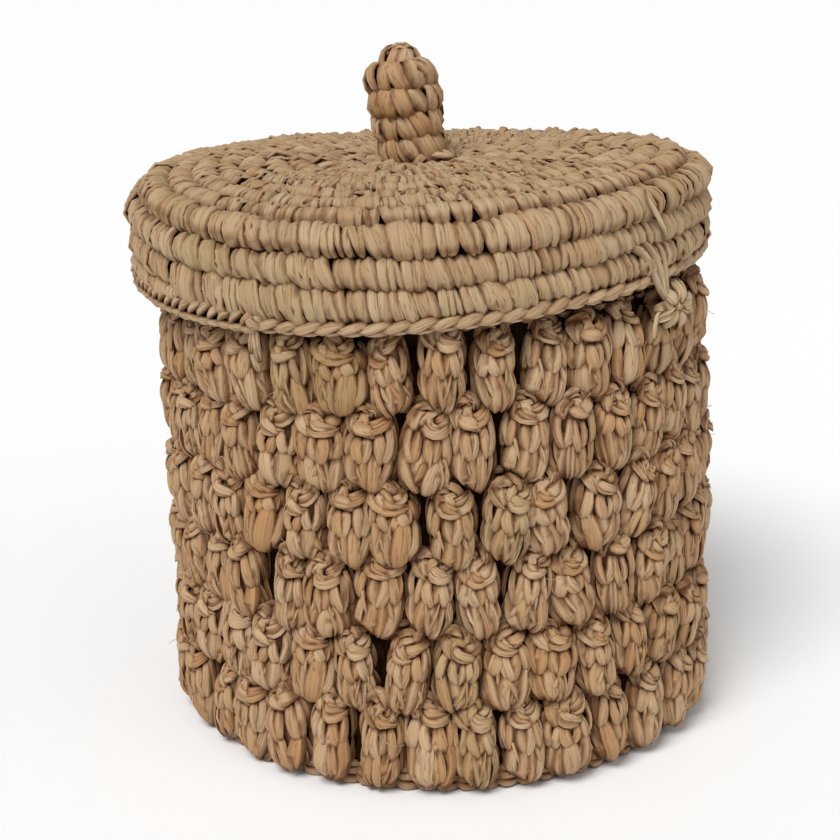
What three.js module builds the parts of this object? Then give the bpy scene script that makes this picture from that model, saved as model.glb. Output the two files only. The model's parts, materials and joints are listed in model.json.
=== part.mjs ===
// Lidded raffia basket: a crocheted wall of popcorn stitches on a round foot, with a coiled lid that is tied
// on at the right and lifted by a wound knob. Millimetres, +Z up, front towards -Y, the foot stands on z = 0.
import * as THREE from "three";
import { mergeVertices } from "three/addons/utils/BufferGeometryUtils.js";

// Overall basket
const BODY_RADIUS = 105; // to the popcorns' fronts, at the foot
const BODY_TAPER = 0.0165; // radius lost for each mm of height
const BEND_RADIUS = 2630; // of the upright axis, which bends to the left
const SEAT_GAP = 0.3; // between pieces that rest on each other
const SEAM_GAP = 0.45; // between rounds, along the upright axis

// Foot
const BASE_INSET = 7; // from the popcorns' fronts in to the foot's edge
const BASE_THICKNESS = 5;
const BASE_EDGE = 1.5; // rounding of the foot's edge
const BASE_ROUND_HEIGHT = 3.2; // to the middle of its wavy top
const BASE_SETBACK = 2; // from the foot's edge in to the round that stands on it

// Popcorn wall
const ROUND_COUNT = 6;
const ROUND_HEIGHT = 26.2;
const POPCORN_PITCH = 18.3; // from one popcorn to the next, round the foot
const POPCORN_DEPTH = 9;
const POPCORN_NEST = 2.3; // how far a popcorn's ends reach past the middle of the seam
const POPCORN_FOOT = 0.25; // share of its depth at its lower end
const FIRST_PHASE = 7.5; // degrees from the front to the nearest popcorn of the first round
const WALL = 4;

// Shoulder and neck under the lid
const SHOULDER_HEIGHT = 5;
const LEDGE_HEIGHT = 1.8; // of the ledge that the lid sits on, above the highest popcorns
const LEDGE_REACH = 2; // how far the ledge reaches under the lid's cord
const NECK_HEIGHT = 13;
const NECK_WALL = 4;
const NECK_CLEARANCE = 5.2; // from the neck out to the lid's side coils
const RIM_DIAMETER = 4.6;

// Lid
const LID_CORD = 7.9; // the crocheted-over cord, as thick as it winds
const LID_INSET = 1.4; // from the popcorns' fronts in to the middle of the side coils' cord
const SKIRT_TURNS = 3;
const SKIRT_GAP = 1.4; // between the side coils
const SHOULDER_GAP = 1; // between the top side coil and the crown's outer turn
const SHOULDER_FALL = 29; // degrees that the cord falls between them
const CROWN_GAP = 0.85; // the crown has as many turns as fit with this gap
const EYE_RADIUS = 13.3; // to the middle of the cord of the crown's first turn
const SHOULDER_BULGE = 1.3; // how far the cord swings out on its way over the shoulder
const CROWN_SWELL = 2.7; // the crown's highest ring above its outer turn
const CROWN_DISH = 3.7; // the crown's dip towards the knob
const CROWN_PEAK = 0.62; // where that ring lies, as a share of the crown's radius
const EDGING_CORD = 4.4;
const EDGING_OUTSET = 2.8;
const EDGING_NEST = 0.8; // how far the edging lies up beside the lowest side coil
const JOG_SHRINK = 0.89; // each turn climbs to the next in this share of the way that the last one took
const JOG_AZIMUTH = -50; // degrees from the front to where the turns climb
const LID_SHIFT = [-2.9, -1.3]; // lid's middle from the wall's middle at its top
const LID_SLOPE = [0.045, 0.027]; // rise towards the right and towards the back
const LID_WARP = [2.1, -1.7]; // sides higher than front and back, and the twist of the edge

// Knob
const KNOB_CORD = 7.6;
const KNOB_GAP = 1.2; // between its rings
const KNOB_RINGS = 4;
const KNOB_CORE_RADIUS = 4.1;
const KNOB_BELLY = 1.7;
const KNOB_JOG = 0.6; // share of a turn in which a ring climbs
const KNOB_LEAN = 4.8; // degrees to the left of the lid's axis
const COLLAR_HEIGHT = 2.6;
const COLLAR_TAPER = 0.85; // its top radius as a share of its lower one
const CAP_HEIGHT = 8.2;
const CAP_RADIUS = 7.6;

// Tie that hinges the lid
const TIE_POPCORN = 2; // it lies on this popcorn of the top round, counted to the right
const TIE_WIDTH = 5;
const TIE_THICKNESS = 1.2;
const TIE_DROP = 7; // how far its end lies below the top of the wall
const TIE_TUCK = 1.4; // how far its start lies back between the coils
const KNOT_WIDTH = 9;
const KNOT_DEPTH = 5;
const KNOT_NEST = 1.3; // how far it lies in the groove between two popcorns
const EDGING_KNOT_DIAMETER = 6.5;
const EDGING_KNOT_AZIMUTH = -30;

// Facets
const TURN_STEPS = 24;
const CORD_SIDES = 6;
const ROUND_STEPS = 48;
const TIE_STEPS = 16;

const HALF_CORD = LID_CORD / 2;
const wallFoot = BASE_THICKNESS + SEAT_GAP + BASE_ROUND_HEIGHT;
const wallTop = wallFoot + ROUND_COUNT * ROUND_HEIGHT;
const baseRadius = BODY_RADIUS - BASE_INSET;
const popcorns = Math.round((2 * Math.PI * BODY_RADIUS) / POPCORN_PITCH);
const lobe = (2 * Math.PI) / popcorns;
const skirtRadius = frontRadius(wallTop) - LID_INSET;
const neckOuter = skirtRadius - HALF_CORD - NECK_CLEARANCE;
const neckInner = neckOuter - NECK_WALL;
const ledgeTop = wallTop + POPCORN_NEST + LEDGE_HEIGHT;
const shoulderTop = wallTop + POPCORN_NEST + SHOULDER_HEIGHT;
const neckTop = shoulderTop + SEAT_GAP + NECK_HEIGHT;
const tieAngle = roundPhase(ROUND_COUNT - 1) + TIE_POPCORN * lobe;
const skirtPitch = LID_CORD + SKIRT_GAP;
const shoulderStep = LID_CORD + SHOULDER_GAP;
const shoulderFall = THREE.MathUtils.degToRad(SHOULDER_FALL);
const crownRadius = skirtRadius - shoulderStep * Math.cos(shoulderFall);
const crownTurns = Math.floor((crownRadius - EYE_RADIUS) / (LID_CORD + CROWN_GAP));
const crownPitch = (crownRadius - EYE_RADIUS) / crownTurns;
const skirtFoot = EDGING_CORD - EDGING_NEST;
const skirtTopTurn = skirtFoot + (SKIRT_TURNS - 0.5) * skirtPitch;
const crownEdge = skirtTopTurn + shoulderStep * Math.sin(shoulderFall);
const lidDip = LID_SLOPE[1] * skirtRadius + LID_WARP[0]; // front edge below the lid's middle
const lidFoot = ledgeTop + SEAT_GAP + lidDip + HALF_CORD - skirtFoot - skirtPitch / 2;
const collarRadius = EYE_RADIUS - HALF_CORD - 2 * SEAT_GAP;
const knobPitch = KNOB_CORD + KNOB_GAP;
const knobRadius = KNOB_CORE_RADIUS + SEAT_GAP + KNOB_CORD / 2;
const knobFirstRing = COLLAR_HEIGHT + 2 * SEAT_GAP + KNOB_CORD / 2;
const knobTilt = THREE.MathUtils.degToRad(KNOB_LEAN);

const raffia = (color) => new THREE.MeshStandardMaterial({ color, roughness: 0.8, metalness: 0 });
const wallRaffia = raffia(0xb8956b);
const lidRaffia = raffia(0xb59c74);
const tieRaffia = raffia(0xc4a878);

// Radius of the popcorns' fronts, and of the wall that they stand out from.
function frontRadius(height) {
  return BODY_RADIUS - BODY_TAPER * height;
}

function wallRadius(height) {
  return frontRadius(height) - POPCORN_DEPTH;
}

// Angle of a direction that is so many degrees from the front, towards the right.
function azimuth(degrees) {
  return THREE.MathUtils.degToRad(degrees - 90);
}

// The basket's upright axis bends to the left, and its rounds tilt with it.
function lean(point) {
  const height = point.z;
  point.z += (height * point.x) / BEND_RADIUS;
  point.x -= (height * height) / (2 * BEND_RADIUS);
  return point;
}

function named(name, geometry, material) {
  const mesh = new THREE.Mesh(geometry, material);
  mesh.name = name;
  return mesh;
}

function lathe(name, points, steps, material) {
  const profile = points.map(([radius, height]) => new THREE.Vector2(radius, height));
  const geometry = new THREE.LatheGeometry(profile, steps);
  return named(name, geometry.rotateX(Math.PI / 2), material);
}

// A closed ring whose section is a loop of [angle, radius, height] points that may change from step to step.
function ringGeometry(steps, sectionAt) {
  const sections = Array.from({ length: steps }, (_, step) => sectionAt(step));
  const count = sections[0].length;
  const positions = sections.flat().flatMap(([angle, radius, height]) => {
    const point = new THREE.Vector3(radius * Math.cos(angle), radius * Math.sin(angle), height);
    return lean(point).toArray();
  });
  const index = [];
  for (let step = 0; step < steps; step++) {
    for (let side = 0; side < count; side++) {
      const near = step * count;
      const far = ((step + 1) % steps) * count;
      const next = (side + 1) % count;
      index.push(near + side, far + side, far + next, near + side, far + next, near + next);
    }
  }
  const geometry = new THREE.BufferGeometry();
  geometry.setAttribute("position", new THREE.Float32BufferAttribute(positions, 3));
  geometry.setIndex(index);
  geometry.computeVertexNormals();
  return geometry;
}

// Height of the wavy seam below one round of popcorns: low under each popcorn, high between them.
function seamHeight(seam, angle) {
  const middle = wallFoot + seam * ROUND_HEIGHT;
  return middle - POPCORN_NEST * Math.cos((angle - roundPhase(seam)) * popcorns);
}

// Rounds are staggered: a popcorn stands over the gap between two below it.
function roundPhase(round) {
  return azimuth(FIRST_PHASE) + (round * lobe) / 2;
}

// Outline of one popcorn: share of its height, share of its depth, and half width as a share of the spacing.
const popcornOutline = [
  [0, POPCORN_FOOT, 0.25],
  [0.3, 0.88, 0.26],
  [0.75, 1, 0.3],
  [1, 0.4, 0.25],
];

// Steps from one popcorn to the next: its crest, its far side, the groove, and the next one's near side.
const popcornSteps = [
  { middle: 0, side: 0, fullness: 1 },
  { middle: 0, side: 1, fullness: 0.86 },
  { middle: 0.5, side: 0, fullness: 0.2 },
  { middle: 1, side: -1, fullness: 0.86 },
];

function popcornRound(round) {
  const geometry = ringGeometry(popcorns * popcornSteps.length, (step) => {
    const { middle, side, fullness } = popcornSteps[step % popcornSteps.length];
    const centre = roundPhase(round) + (Math.floor(step / popcornSteps.length) + middle) * lobe;
    const seamAngle = centre + (side * lobe) / 4;
    const low = seamHeight(round, seamAngle) + SEAM_GAP / 2;
    const high = seamHeight(round + 1, seamAngle) - SEAM_GAP / 2;
    const outside = popcornOutline.map(([rise, depth, halfWidth]) => {
      const height = THREE.MathUtils.lerp(low, high, rise);
      const radius = wallRadius(height) + POPCORN_DEPTH * depth * fullness;
      return [centre + side * halfWidth * lobe, radius, height];
    });
    const inside = [high, low].map((height) => [seamAngle, wallRadius(height) - WALL, height]);
    return [...outside, ...inside];
  });
  return named(`popcorn_round_${round + 1}`, geometry, wallRaffia);
}

function baseDisc() {
  const profile = [
    [0, 0],
    [baseRadius - BASE_EDGE, 0],
    [baseRadius, BASE_THICKNESS / 2],
    [baseRadius - BASE_EDGE, BASE_THICKNESS],
    [0, BASE_THICKNESS],
  ];
  return lathe("base_disc", profile, ROUND_STEPS, wallRaffia);
}

function baseRound() {
  const geometry = ringGeometry(popcorns * 2, (step) => {
    const angle = roundPhase(0) + (step * lobe) / 2;
    const top = seamHeight(0, angle) - SEAM_GAP / 2;
    const inner = wallRadius(top) - WALL;
    const bottom = BASE_THICKNESS + SEAT_GAP + (BASE_THICKNESS * inner) / BEND_RADIUS;
    return [
      [angle, inner, bottom],
      [angle, baseRadius - BASE_SETBACK, bottom],
      [angle, wallRadius(top) + POPCORN_DEPTH * POPCORN_FOOT, top],
      [angle, inner, top],
    ];
  });
  return named("base_round", geometry, wallRaffia);
}

// It covers the ends of the highest popcorns, and the lid's lowest side coil sits on its ledge.
function shoulderRound() {
  const geometry = ringGeometry(popcorns * 2, (step) => {
    const angle = roundPhase(ROUND_COUNT) + (step * lobe) / 2;
    const low = seamHeight(ROUND_COUNT, angle) + SEAM_GAP / 2;
    return [
      [angle, wallRadius(low) - WALL, low],
      [angle, wallRadius(low) + POPCORN_DEPTH * POPCORN_FOOT, low],
      [angle, skirtRadius - HALF_CORD + LEDGE_REACH, ledgeTop],
      [angle, neckOuter, shoulderTop],
      [angle, neckInner, shoulderTop],
    ];
  });
  return named("shoulder_round", geometry, wallRaffia);
}

function neckBand() {
  const geometry = ringGeometry(ROUND_STEPS, (step) => {
    const angle = (step / ROUND_STEPS) * 2 * Math.PI;
    const low = shoulderTop + SEAT_GAP;
    return [
      [angle, neckInner, low],
      [angle, neckOuter, low],
      [angle, neckOuter, neckTop],
      [angle, neckInner, neckTop],
    ];
  });
  return named("neck_band", geometry, wallRaffia);
}

function rimRound() {
  const radius = RIM_DIAMETER / 2;
  const middle = (neckInner + neckOuter) / 2;
  const geometry = ringGeometry(ROUND_STEPS, (step) => {
    const angle = (step / ROUND_STEPS) * 2 * Math.PI;
    return Array.from({ length: CORD_SIDES }, (_, side) => {
      const turn = (side / CORD_SIDES) * 2 * Math.PI;
      return [angle, middle + radius * Math.cos(turn), neckTop + SEAT_GAP + radius * (1 + Math.sin(turn))];
    });
  });
  return named("rim_round", geometry, wallRaffia);
}

// A curve that is stepped evenly in its own parameter, so that neighbouring turns have their corners in line.
class WoundCurve extends THREE.Curve {
  constructor(pointAt, start, end) {
    super();
    this.pointAt = pointAt;
    this.start = start;
    this.end = end;
  }
  getPoint(share) {
    return this.pointAt(THREE.MathUtils.lerp(this.start, this.end, share));
  }
  getPointAt(share) {
    return this.getPoint(share);
  }
  getTangentAt(share) {
    return this.getTangent(share);
  }
}

function windingSteps(curve) {
  return Math.round((curve.end - curve.start) * TURN_STEPS);
}

function woundTube(name, curve, diameter, material) {
  const section = new THREE.Shape();
  for (let side = 0; side < CORD_SIDES; side++) {
    const turn = (side / CORD_SIDES) * 2 * Math.PI;
    const corner = [(diameter / 2) * Math.cos(turn), (diameter / 2) * Math.sin(turn)];
    if (side === 0) section.moveTo(...corner);
    else section.lineTo(...corner);
  }
  const steps = windingSteps(curve);
  const geometry = new THREE.ExtrudeGeometry(section, { steps, extrudePath: curve, bevelEnabled: false });
  console.log(`${name}: least gap to itself ${selfGap(curve, diameter).toFixed(2)} mm`);
  return named(name, geometry, material);
}

// Least distance between points of different turns, less the cord's own thickness.
function selfGap(curve, diameter) {
  const finer = 4;
  const points = curve.getSpacedPoints(windingSteps(curve) * finer);
  const apart = (TURN_STEPS * finer) / 2;
  let least = Infinity;
  for (let i = 0; i < points.length; i++) {
    for (let j = i + apart; j < points.length; j++) {
      least = Math.min(least, points[i].distanceTo(points[j]));
    }
  }
  return least - diameter;
}

// How many turns out the lid's cord lies after so many turns: level rounds that climb in a jog.
function climbed(turn) {
  const whole = Math.floor(turn);
  const jog = Math.pow(JOG_SHRINK, whole);
  return whole + THREE.MathUtils.clamp((turn - whole - 0.5) / jog + 0.5, 0, 1);
}

// Height of the middle of the crown's cord at a radius, above the lid's lower edge.
function crownHeight(radius) {
  const peak = crownRadius * CROWN_PEAK;
  const top = crownEdge + CROWN_SWELL;
  if (radius < peak) return top - CROWN_DISH * Math.pow(1 - radius / peak, 2);
  return top - CROWN_SWELL * Math.pow((radius - peak) / (crownRadius - peak), 2);
}

// A hand-made lid is not quite flat: its edge waves a little.
function lidWarp(angle, radius) {
  const wave = LID_WARP[0] * Math.cos(2 * angle) + LID_WARP[1] * Math.sin(2 * angle);
  return wave * Math.pow(radius / skirtRadius, 2);
}

function lidPoint(angle, radius, height) {
  return new THREE.Vector3(
    radius * Math.cos(angle),
    radius * Math.sin(angle),
    height + lidWarp(angle, radius),
  );
}

// The lid's cord from the middle of the crown out, over the shoulder and down the side.
function lidCordPoint(turn) {
  const angle = azimuth(JOG_AZIMUTH) + Math.PI + turn * 2 * Math.PI;
  const level = climbed(turn);
  if (level <= crownTurns) {
    const radius = EYE_RADIUS + crownPitch * level;
    return lidPoint(angle, radius, crownHeight(radius));
  }
  const over = Math.min(level - crownTurns, 1);
  const down = Math.max(level - crownTurns - 1, 0);
  const bulge = SHOULDER_BULGE * Math.sin(Math.PI * over);
  const height = THREE.MathUtils.lerp(crownEdge, skirtTopTurn, over) - skirtPitch * down;
  return lidPoint(angle, THREE.MathUtils.lerp(crownRadius, skirtRadius, over) + bulge / 2, height + bulge);
}

// Where a round ends and the cord starts to climb to the next.
function jogStart(turn) {
  return turn + 0.5 - Math.pow(JOG_SHRINK, turn) / 2;
}

function lidCoils() {
  const gap = SEAT_GAP / (2 * Math.PI * crownRadius);
  const shoulder = jogStart(crownTurns);
  const crown = new WoundCurve(lidCordPoint, 0, shoulder - gap);
  const skirt = new WoundCurve(lidCordPoint, shoulder + gap, jogStart(crownTurns + SKIRT_TURNS));
  return [
    woundTube("lid_crown_coil", crown, LID_CORD, lidRaffia),
    woundTube("lid_skirt_coil", skirt, LID_CORD, lidRaffia),
  ];
}

function lidEye() {
  const radius = EYE_RADIUS - HALF_CORD - SEAT_GAP;
  const eye = new THREE.CylinderGeometry(radius, radius, LID_CORD, TURN_STEPS).rotateX(Math.PI / 2);
  return named("lid_eye", eye.translate(0, 0, crownHeight(0)), lidRaffia);
}

function lidEdging() {
  const radius = skirtRadius + EDGING_OUTSET;
  const knotShare = (EDGING_KNOT_DIAMETER / 2 + SEAT_GAP) / (2 * Math.PI * radius);
  const pointAt = (turn) => {
    return lidPoint(azimuth(EDGING_KNOT_AZIMUTH) + turn * 2 * Math.PI, radius, EDGING_CORD / 2);
  };
  const edging = woundTube(
    "lid_edging",
    new WoundCurve(pointAt, knotShare, 1 - knotShare),
    EDGING_CORD,
    lidRaffia,
  );
  const knot = named("edging_knot", new THREE.IcosahedronGeometry(EDGING_KNOT_DIAMETER / 2, 1), lidRaffia);
  knot.geometry.scale(1, 1, EDGING_CORD / EDGING_KNOT_DIAMETER);
  knot.position.copy(pointAt(0));
  return [edging, knot];
}

function knobRingRadius(level) {
  return knobRadius + KNOB_BELLY * Math.sin((Math.PI * level) / (KNOB_RINGS - 1));
}

function knobCordPoint(turn) {
  const whole = Math.floor(turn);
  const level = whole + THREE.MathUtils.clamp((turn - whole - 0.5) / KNOB_JOG + 0.5, 0, 1);
  const angle = azimuth(0) + turn * 2 * Math.PI;
  const radius = knobRingRadius(level);
  const height = knobFirstRing + knobPitch * level;
  return new THREE.Vector3(radius * Math.cos(angle), radius * Math.sin(angle), height);
}

function knob() {
  const group = new THREE.Group();
  const levelShare = (1 - KNOB_JOG) / 2;
  const coil = new WoundCurve(knobCordPoint, -levelShare, KNOB_RINGS - 1 + levelShare);
  const lastRing = knobFirstRing + knobPitch * (KNOB_RINGS - 1);
  const coreTop = lastRing + KNOB_CORD / 2;
  const core = [
    [0, SEAT_GAP],
    [KNOB_CORE_RADIUS, SEAT_GAP],
    [KNOB_CORE_RADIUS, coreTop],
    [0, coreTop],
  ];
  const collarBore = KNOB_CORE_RADIUS + SEAT_GAP;
  const collar = [
    [collarBore, SEAT_GAP],
    [collarRadius, SEAT_GAP],
    [collarRadius * COLLAR_TAPER, COLLAR_HEIGHT + SEAT_GAP],
    [collarBore, COLLAR_HEIGHT + SEAT_GAP],
    [collarBore, SEAT_GAP],
  ];
  const capFoot = coreTop + SEAT_GAP;
  const cap = [
    [0, capFoot],
    [CAP_RADIUS * 0.85, capFoot],
    [CAP_RADIUS, capFoot + CAP_HEIGHT * 0.3],
    [CAP_RADIUS * 0.9, capFoot + CAP_HEIGHT * 0.65],
    [CAP_RADIUS * 0.55, capFoot + CAP_HEIGHT * 0.92],
    [0, capFoot + CAP_HEIGHT],
  ];
  group.add(woundTube("knob_coil", coil, KNOB_CORD, lidRaffia));
  group.add(lathe("knob_core", core, TURN_STEPS, lidRaffia));
  group.add(lathe("knob_collar", collar, TURN_STEPS, lidRaffia));
  group.add(lathe("knob_cap", cap, TURN_STEPS, lidRaffia));
  group.position.z = crownHeight(0) + HALF_CORD + collarRadius * Math.sin(knobTilt);
  group.rotation.y = -knobTilt;
  return group;
}

function makeLid() {
  const lid = new THREE.Group();
  const axis = lean(new THREE.Vector3(0, 0, wallTop));
  lid.position.set(axis.x + LID_SHIFT[0], LID_SHIFT[1], lidFoot);
  lid.rotation.set(Math.atan(LID_SLOPE[1]), -Math.atan(LID_SLOPE[0]), 0);
  lid.add(...lidCoils(), lidEye(), ...lidEdging(), knob());
  lid.updateMatrixWorld(true);
  return lid;
}

// A point on the front of the top popcorns, raised by a lift, and so far below the top of the wall.
function wallFrontPoint(angle, lift, drop) {
  const radius = frontRadius(wallTop) + lift;
  return lean(new THREE.Vector3(radius * Math.cos(angle), radius * Math.sin(angle), wallTop - drop));
}

// A route whose strip keeps its width along one direction.
class StripRoute extends THREE.CatmullRomCurve3 {
  constructor(points, across) {
    super(points);
    this.across = across;
  }
  computeFrenetFrames(steps) {
    const tangents = Array.from({ length: steps + 1 }, (_, step) => this.getTangentAt(step / steps));
    const normals = tangents.map((tangent) => this.across.clone().cross(tangent).normalize());
    const binormals = tangents.map((tangent, step) => tangent.clone().cross(normals[step]));
    return { tangents, normals, binormals };
  }
}

// The tie comes out between the two lowest side coils, folds over the lower one and the edging, and lies on
// a top popcorn. The coils' facets lie inside their curve, there by about half of their greatest sag.
function hingeTie(lid) {
  const facetSag = (skirtRadius * (1 - Math.cos(Math.PI / TURN_STEPS))) / 2;
  const lift = TIE_THICKNESS / 2 + SEAT_GAP;
  const overCoil = skirtRadius + HALF_CORD + lift - facetSag;
  const overEdging = skirtRadius + EDGING_OUTSET + EDGING_CORD / 2 + lift - facetSag;
  const route = [
    [overCoil - TIE_TUCK, skirtFoot + skirtPitch],
    [overCoil, skirtFoot + skirtPitch * 0.7],
    [overEdging, EDGING_CORD / 2],
  ].map(([radius, height]) => lid.localToWorld(lidPoint(tieAngle, radius, height)));
  route.push(wallFrontPoint(tieAngle, lift, TIE_DROP));
  const strip = new THREE.Shape();
  strip.moveTo(-TIE_THICKNESS / 2, -TIE_WIDTH / 2);
  strip.lineTo(TIE_THICKNESS / 2, -TIE_WIDTH / 2);
  strip.lineTo(TIE_THICKNESS / 2, TIE_WIDTH / 2);
  strip.lineTo(-TIE_THICKNESS / 2, TIE_WIDTH / 2);
  const path = new StripRoute(route, new THREE.Vector3(-Math.sin(tieAngle), Math.cos(tieAngle), 0));
  const options = { steps: TIE_STEPS, extrudePath: path, bevelEnabled: false };
  return named("hinge_tie", new THREE.ExtrudeGeometry(strip, options), tieRaffia);
}

// The tie's ends are knotted beside it, in the groove between two top popcorns.
function tieKnot() {
  const beside = (TIE_WIDTH + KNOT_WIDTH) / 2 + SEAT_GAP;
  const angle = tieAngle + beside / frontRadius(wallTop);
  const geometry = new THREE.IcosahedronGeometry(KNOT_WIDTH / 2, 1);
  geometry.scale(KNOT_DEPTH / KNOT_WIDTH, 1, 1);
  const knot = named("tie_knot", geometry, tieRaffia);
  knot.position.copy(wallFrontPoint(angle, KNOT_DEPTH / 2 - KNOT_NEST, KNOT_WIDTH / 2 + SEAT_GAP));
  knot.rotation.z = angle;
  return knot;
}

function makeBasket() {
  const basket = new THREE.Group();
  basket.add(baseDisc(), baseRound());
  for (let round = 0; round < ROUND_COUNT; round++) basket.add(popcornRound(round));
  basket.add(shoulderRound(), neckBand(), rimRound());
  return basket;
}

const part = new THREE.Group();
const lid = makeLid();
part.add(makeBasket(), lid, hingeTie(lid), tieKnot());
part.traverse((object) => {
  if (!object.isMesh) return;
  object.geometry.deleteAttribute("uv");
  object.geometry.deleteAttribute("normal");
  object.geometry = mergeVertices(object.geometry, 1e-4);
  object.geometry.computeVertexNormals();
});

// The origin is under the middle of the whole outline.
const outline = new THREE.Box3().setFromObject(part).getCenter(new THREE.Vector3());
part.position.set(-outline.x, -outline.y, 0);

export default part;
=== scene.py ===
"""Lidded raffia basket: popcorn-stitched wall, coiled lid with a wound knob, and the tie that hinges it."""
import json
import math

import bpy
import numpy as np
from bpy.props import FloatProperty, FloatVectorProperty, IntProperty, PointerProperty
from mathutils import Matrix, Vector
from mathutils.bvhtree import BVHTree

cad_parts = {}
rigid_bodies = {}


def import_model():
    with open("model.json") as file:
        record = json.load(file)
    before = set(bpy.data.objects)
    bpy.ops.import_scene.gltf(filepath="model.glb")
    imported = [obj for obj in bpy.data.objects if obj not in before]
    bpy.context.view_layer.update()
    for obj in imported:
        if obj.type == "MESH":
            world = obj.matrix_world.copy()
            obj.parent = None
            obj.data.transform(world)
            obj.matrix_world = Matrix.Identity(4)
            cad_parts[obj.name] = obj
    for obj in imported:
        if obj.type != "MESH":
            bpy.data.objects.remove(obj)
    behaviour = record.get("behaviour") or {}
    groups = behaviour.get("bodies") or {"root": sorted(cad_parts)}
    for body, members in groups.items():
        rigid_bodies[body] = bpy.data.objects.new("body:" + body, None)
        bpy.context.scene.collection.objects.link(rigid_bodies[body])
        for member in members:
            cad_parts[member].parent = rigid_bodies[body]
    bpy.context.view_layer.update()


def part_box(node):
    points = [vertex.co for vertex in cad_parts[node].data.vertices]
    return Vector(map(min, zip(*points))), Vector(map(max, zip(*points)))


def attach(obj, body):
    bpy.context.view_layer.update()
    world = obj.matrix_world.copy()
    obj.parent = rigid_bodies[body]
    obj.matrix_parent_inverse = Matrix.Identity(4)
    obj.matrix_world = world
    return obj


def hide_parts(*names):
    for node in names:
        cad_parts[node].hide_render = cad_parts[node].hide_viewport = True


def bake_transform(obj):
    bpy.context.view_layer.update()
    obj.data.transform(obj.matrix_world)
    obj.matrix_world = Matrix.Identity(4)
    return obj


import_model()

bl_info = {
    "name": "Raffia basket",
    "version": (1, 0, 0),
    "blender": (4, 5, 0),
    "location": "3D View > Sidebar > Raffia basket",
    "description": "Crochets a lidded raffia basket strand by strand round its frame",
    "category": "Add Mesh",
}

MM = 0.001
DEGREE = math.pi / 180
TURN = 2 * math.pi
UP = (0, 0, 1)

# Sizes that the frame has
FRONT_RADIUS = 105 * MM
TAPER = 0.0165
BEND_RADIUS = 2.63  # of the upright axis, which bends to the left
SEAT_GAP = 0.3 * MM
BASE_RADIUS = 98 * MM
BASE_THICKNESS = 5 * MM
WALL_FOOT = BASE_THICKNESS + SEAT_GAP + 3.2 * MM
ROUNDS = 6
ROUND_HEIGHT = 26.2 * MM
POPCORNS = 36
POPCORN_DEPTH = 9 * MM
POPCORN_NEST = 2.3 * MM
FIRST_PHASE = 7.5  # degrees from the front to the nearest popcorn of the first round
WALL = 4 * MM
LEDGE_HEIGHT = 1.8 * MM
SHOULDER_HEIGHT = 5 * MM
NECK_HEIGHT = 13 * MM
NECK_WALL = 4 * MM
NECK_CLEARANCE = 5.2 * MM
RIM_DIAMETER = 4.6 * MM
LID_CORD = 7.9 * MM
LID_INSET = 1.4 * MM
SKIRT_TURNS = 3
SKIRT_PITCH = LID_CORD + 1.4 * MM
SHOULDER_STEP = LID_CORD + 1 * MM
SHOULDER_FALL = 29 * DEGREE
CROWN_TURNS = 9
EYE_RADIUS = 13.3 * MM
SHOULDER_BULGE = 1.3 * MM
CROWN_SWELL = 2.7 * MM
CROWN_DISH = 3.7 * MM
CROWN_PEAK = 0.62
EDGING_CORD = 4.4 * MM
EDGING_OUTSET = 2.8 * MM
EDGING_NEST = 0.8 * MM
JOG_SHRINK = 0.89
JOG_AZIMUTH = -50
KNOT_AZIMUTH = -30
LID_SHIFT = (-2.9 * MM, -1.3 * MM)
LID_SLOPE = (0.045, 0.027)
LID_WARP = (2.1 * MM, -1.7 * MM)
KNOB_CORD = 7.6 * MM
KNOB_PITCH = KNOB_CORD + 1.2 * MM
KNOB_RINGS = 4
KNOB_RADIUS = 8.2 * MM
KNOB_BELLY = 1.7 * MM
KNOB_JOG = 0.6
KNOB_LEAN = 4.8 * DEGREE
COLLAR_HEIGHT = 2.6 * MM
CAP_HEIGHT = 8.2 * MM
CAP_RADIUS = 7.6 * MM

# Sizes that follow from them
LOBE = TURN / POPCORNS
WALL_TOP = WALL_FOOT + ROUNDS * ROUND_HEIGHT
SKIRT_RADIUS = FRONT_RADIUS - TAPER * WALL_TOP - LID_INSET
NECK_RADIUS = SKIRT_RADIUS - LID_CORD / 2 - NECK_CLEARANCE - NECK_WALL / 2
LEDGE_TOP = WALL_TOP + POPCORN_NEST + LEDGE_HEIGHT
SHOULDER_TOP = WALL_TOP + POPCORN_NEST + SHOULDER_HEIGHT
NECK_TOP = SHOULDER_TOP + SEAT_GAP + NECK_HEIGHT
CROWN_RADIUS = SKIRT_RADIUS - SHOULDER_STEP * math.cos(SHOULDER_FALL)
CROWN_PITCH = (CROWN_RADIUS - EYE_RADIUS) / CROWN_TURNS
CORD_TURNS = CROWN_TURNS + SKIRT_TURNS
SKIRT_FOOT = EDGING_CORD - EDGING_NEST
SKIRT_TOP_TURN = SKIRT_FOOT + (SKIRT_TURNS - 0.5) * SKIRT_PITCH
CROWN_EDGE = SKIRT_TOP_TURN + SHOULDER_STEP * math.sin(SHOULDER_FALL)
LID_DIP = LID_SLOPE[1] * SKIRT_RADIUS + LID_WARP[0]
LID_FOOT = LEDGE_TOP + SEAT_GAP + LID_DIP + LID_CORD / 2 - SKIRT_FOOT - SKIRT_PITCH / 2
COLLAR_RADIUS = EYE_RADIUS - LID_CORD / 2 - 2 * SEAT_GAP
KNOB_FIRST_RING = COLLAR_HEIGHT + 2 * SEAT_GAP + KNOB_CORD / 2

FOOT_LOW, FOOT_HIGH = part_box("base_disc")
FOOT_CENTRE = Vector(((FOOT_LOW.x + FOOT_HIGH.x) / 2, (FOOT_LOW.y + FOOT_HIGH.y) / 2, 0))

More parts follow.
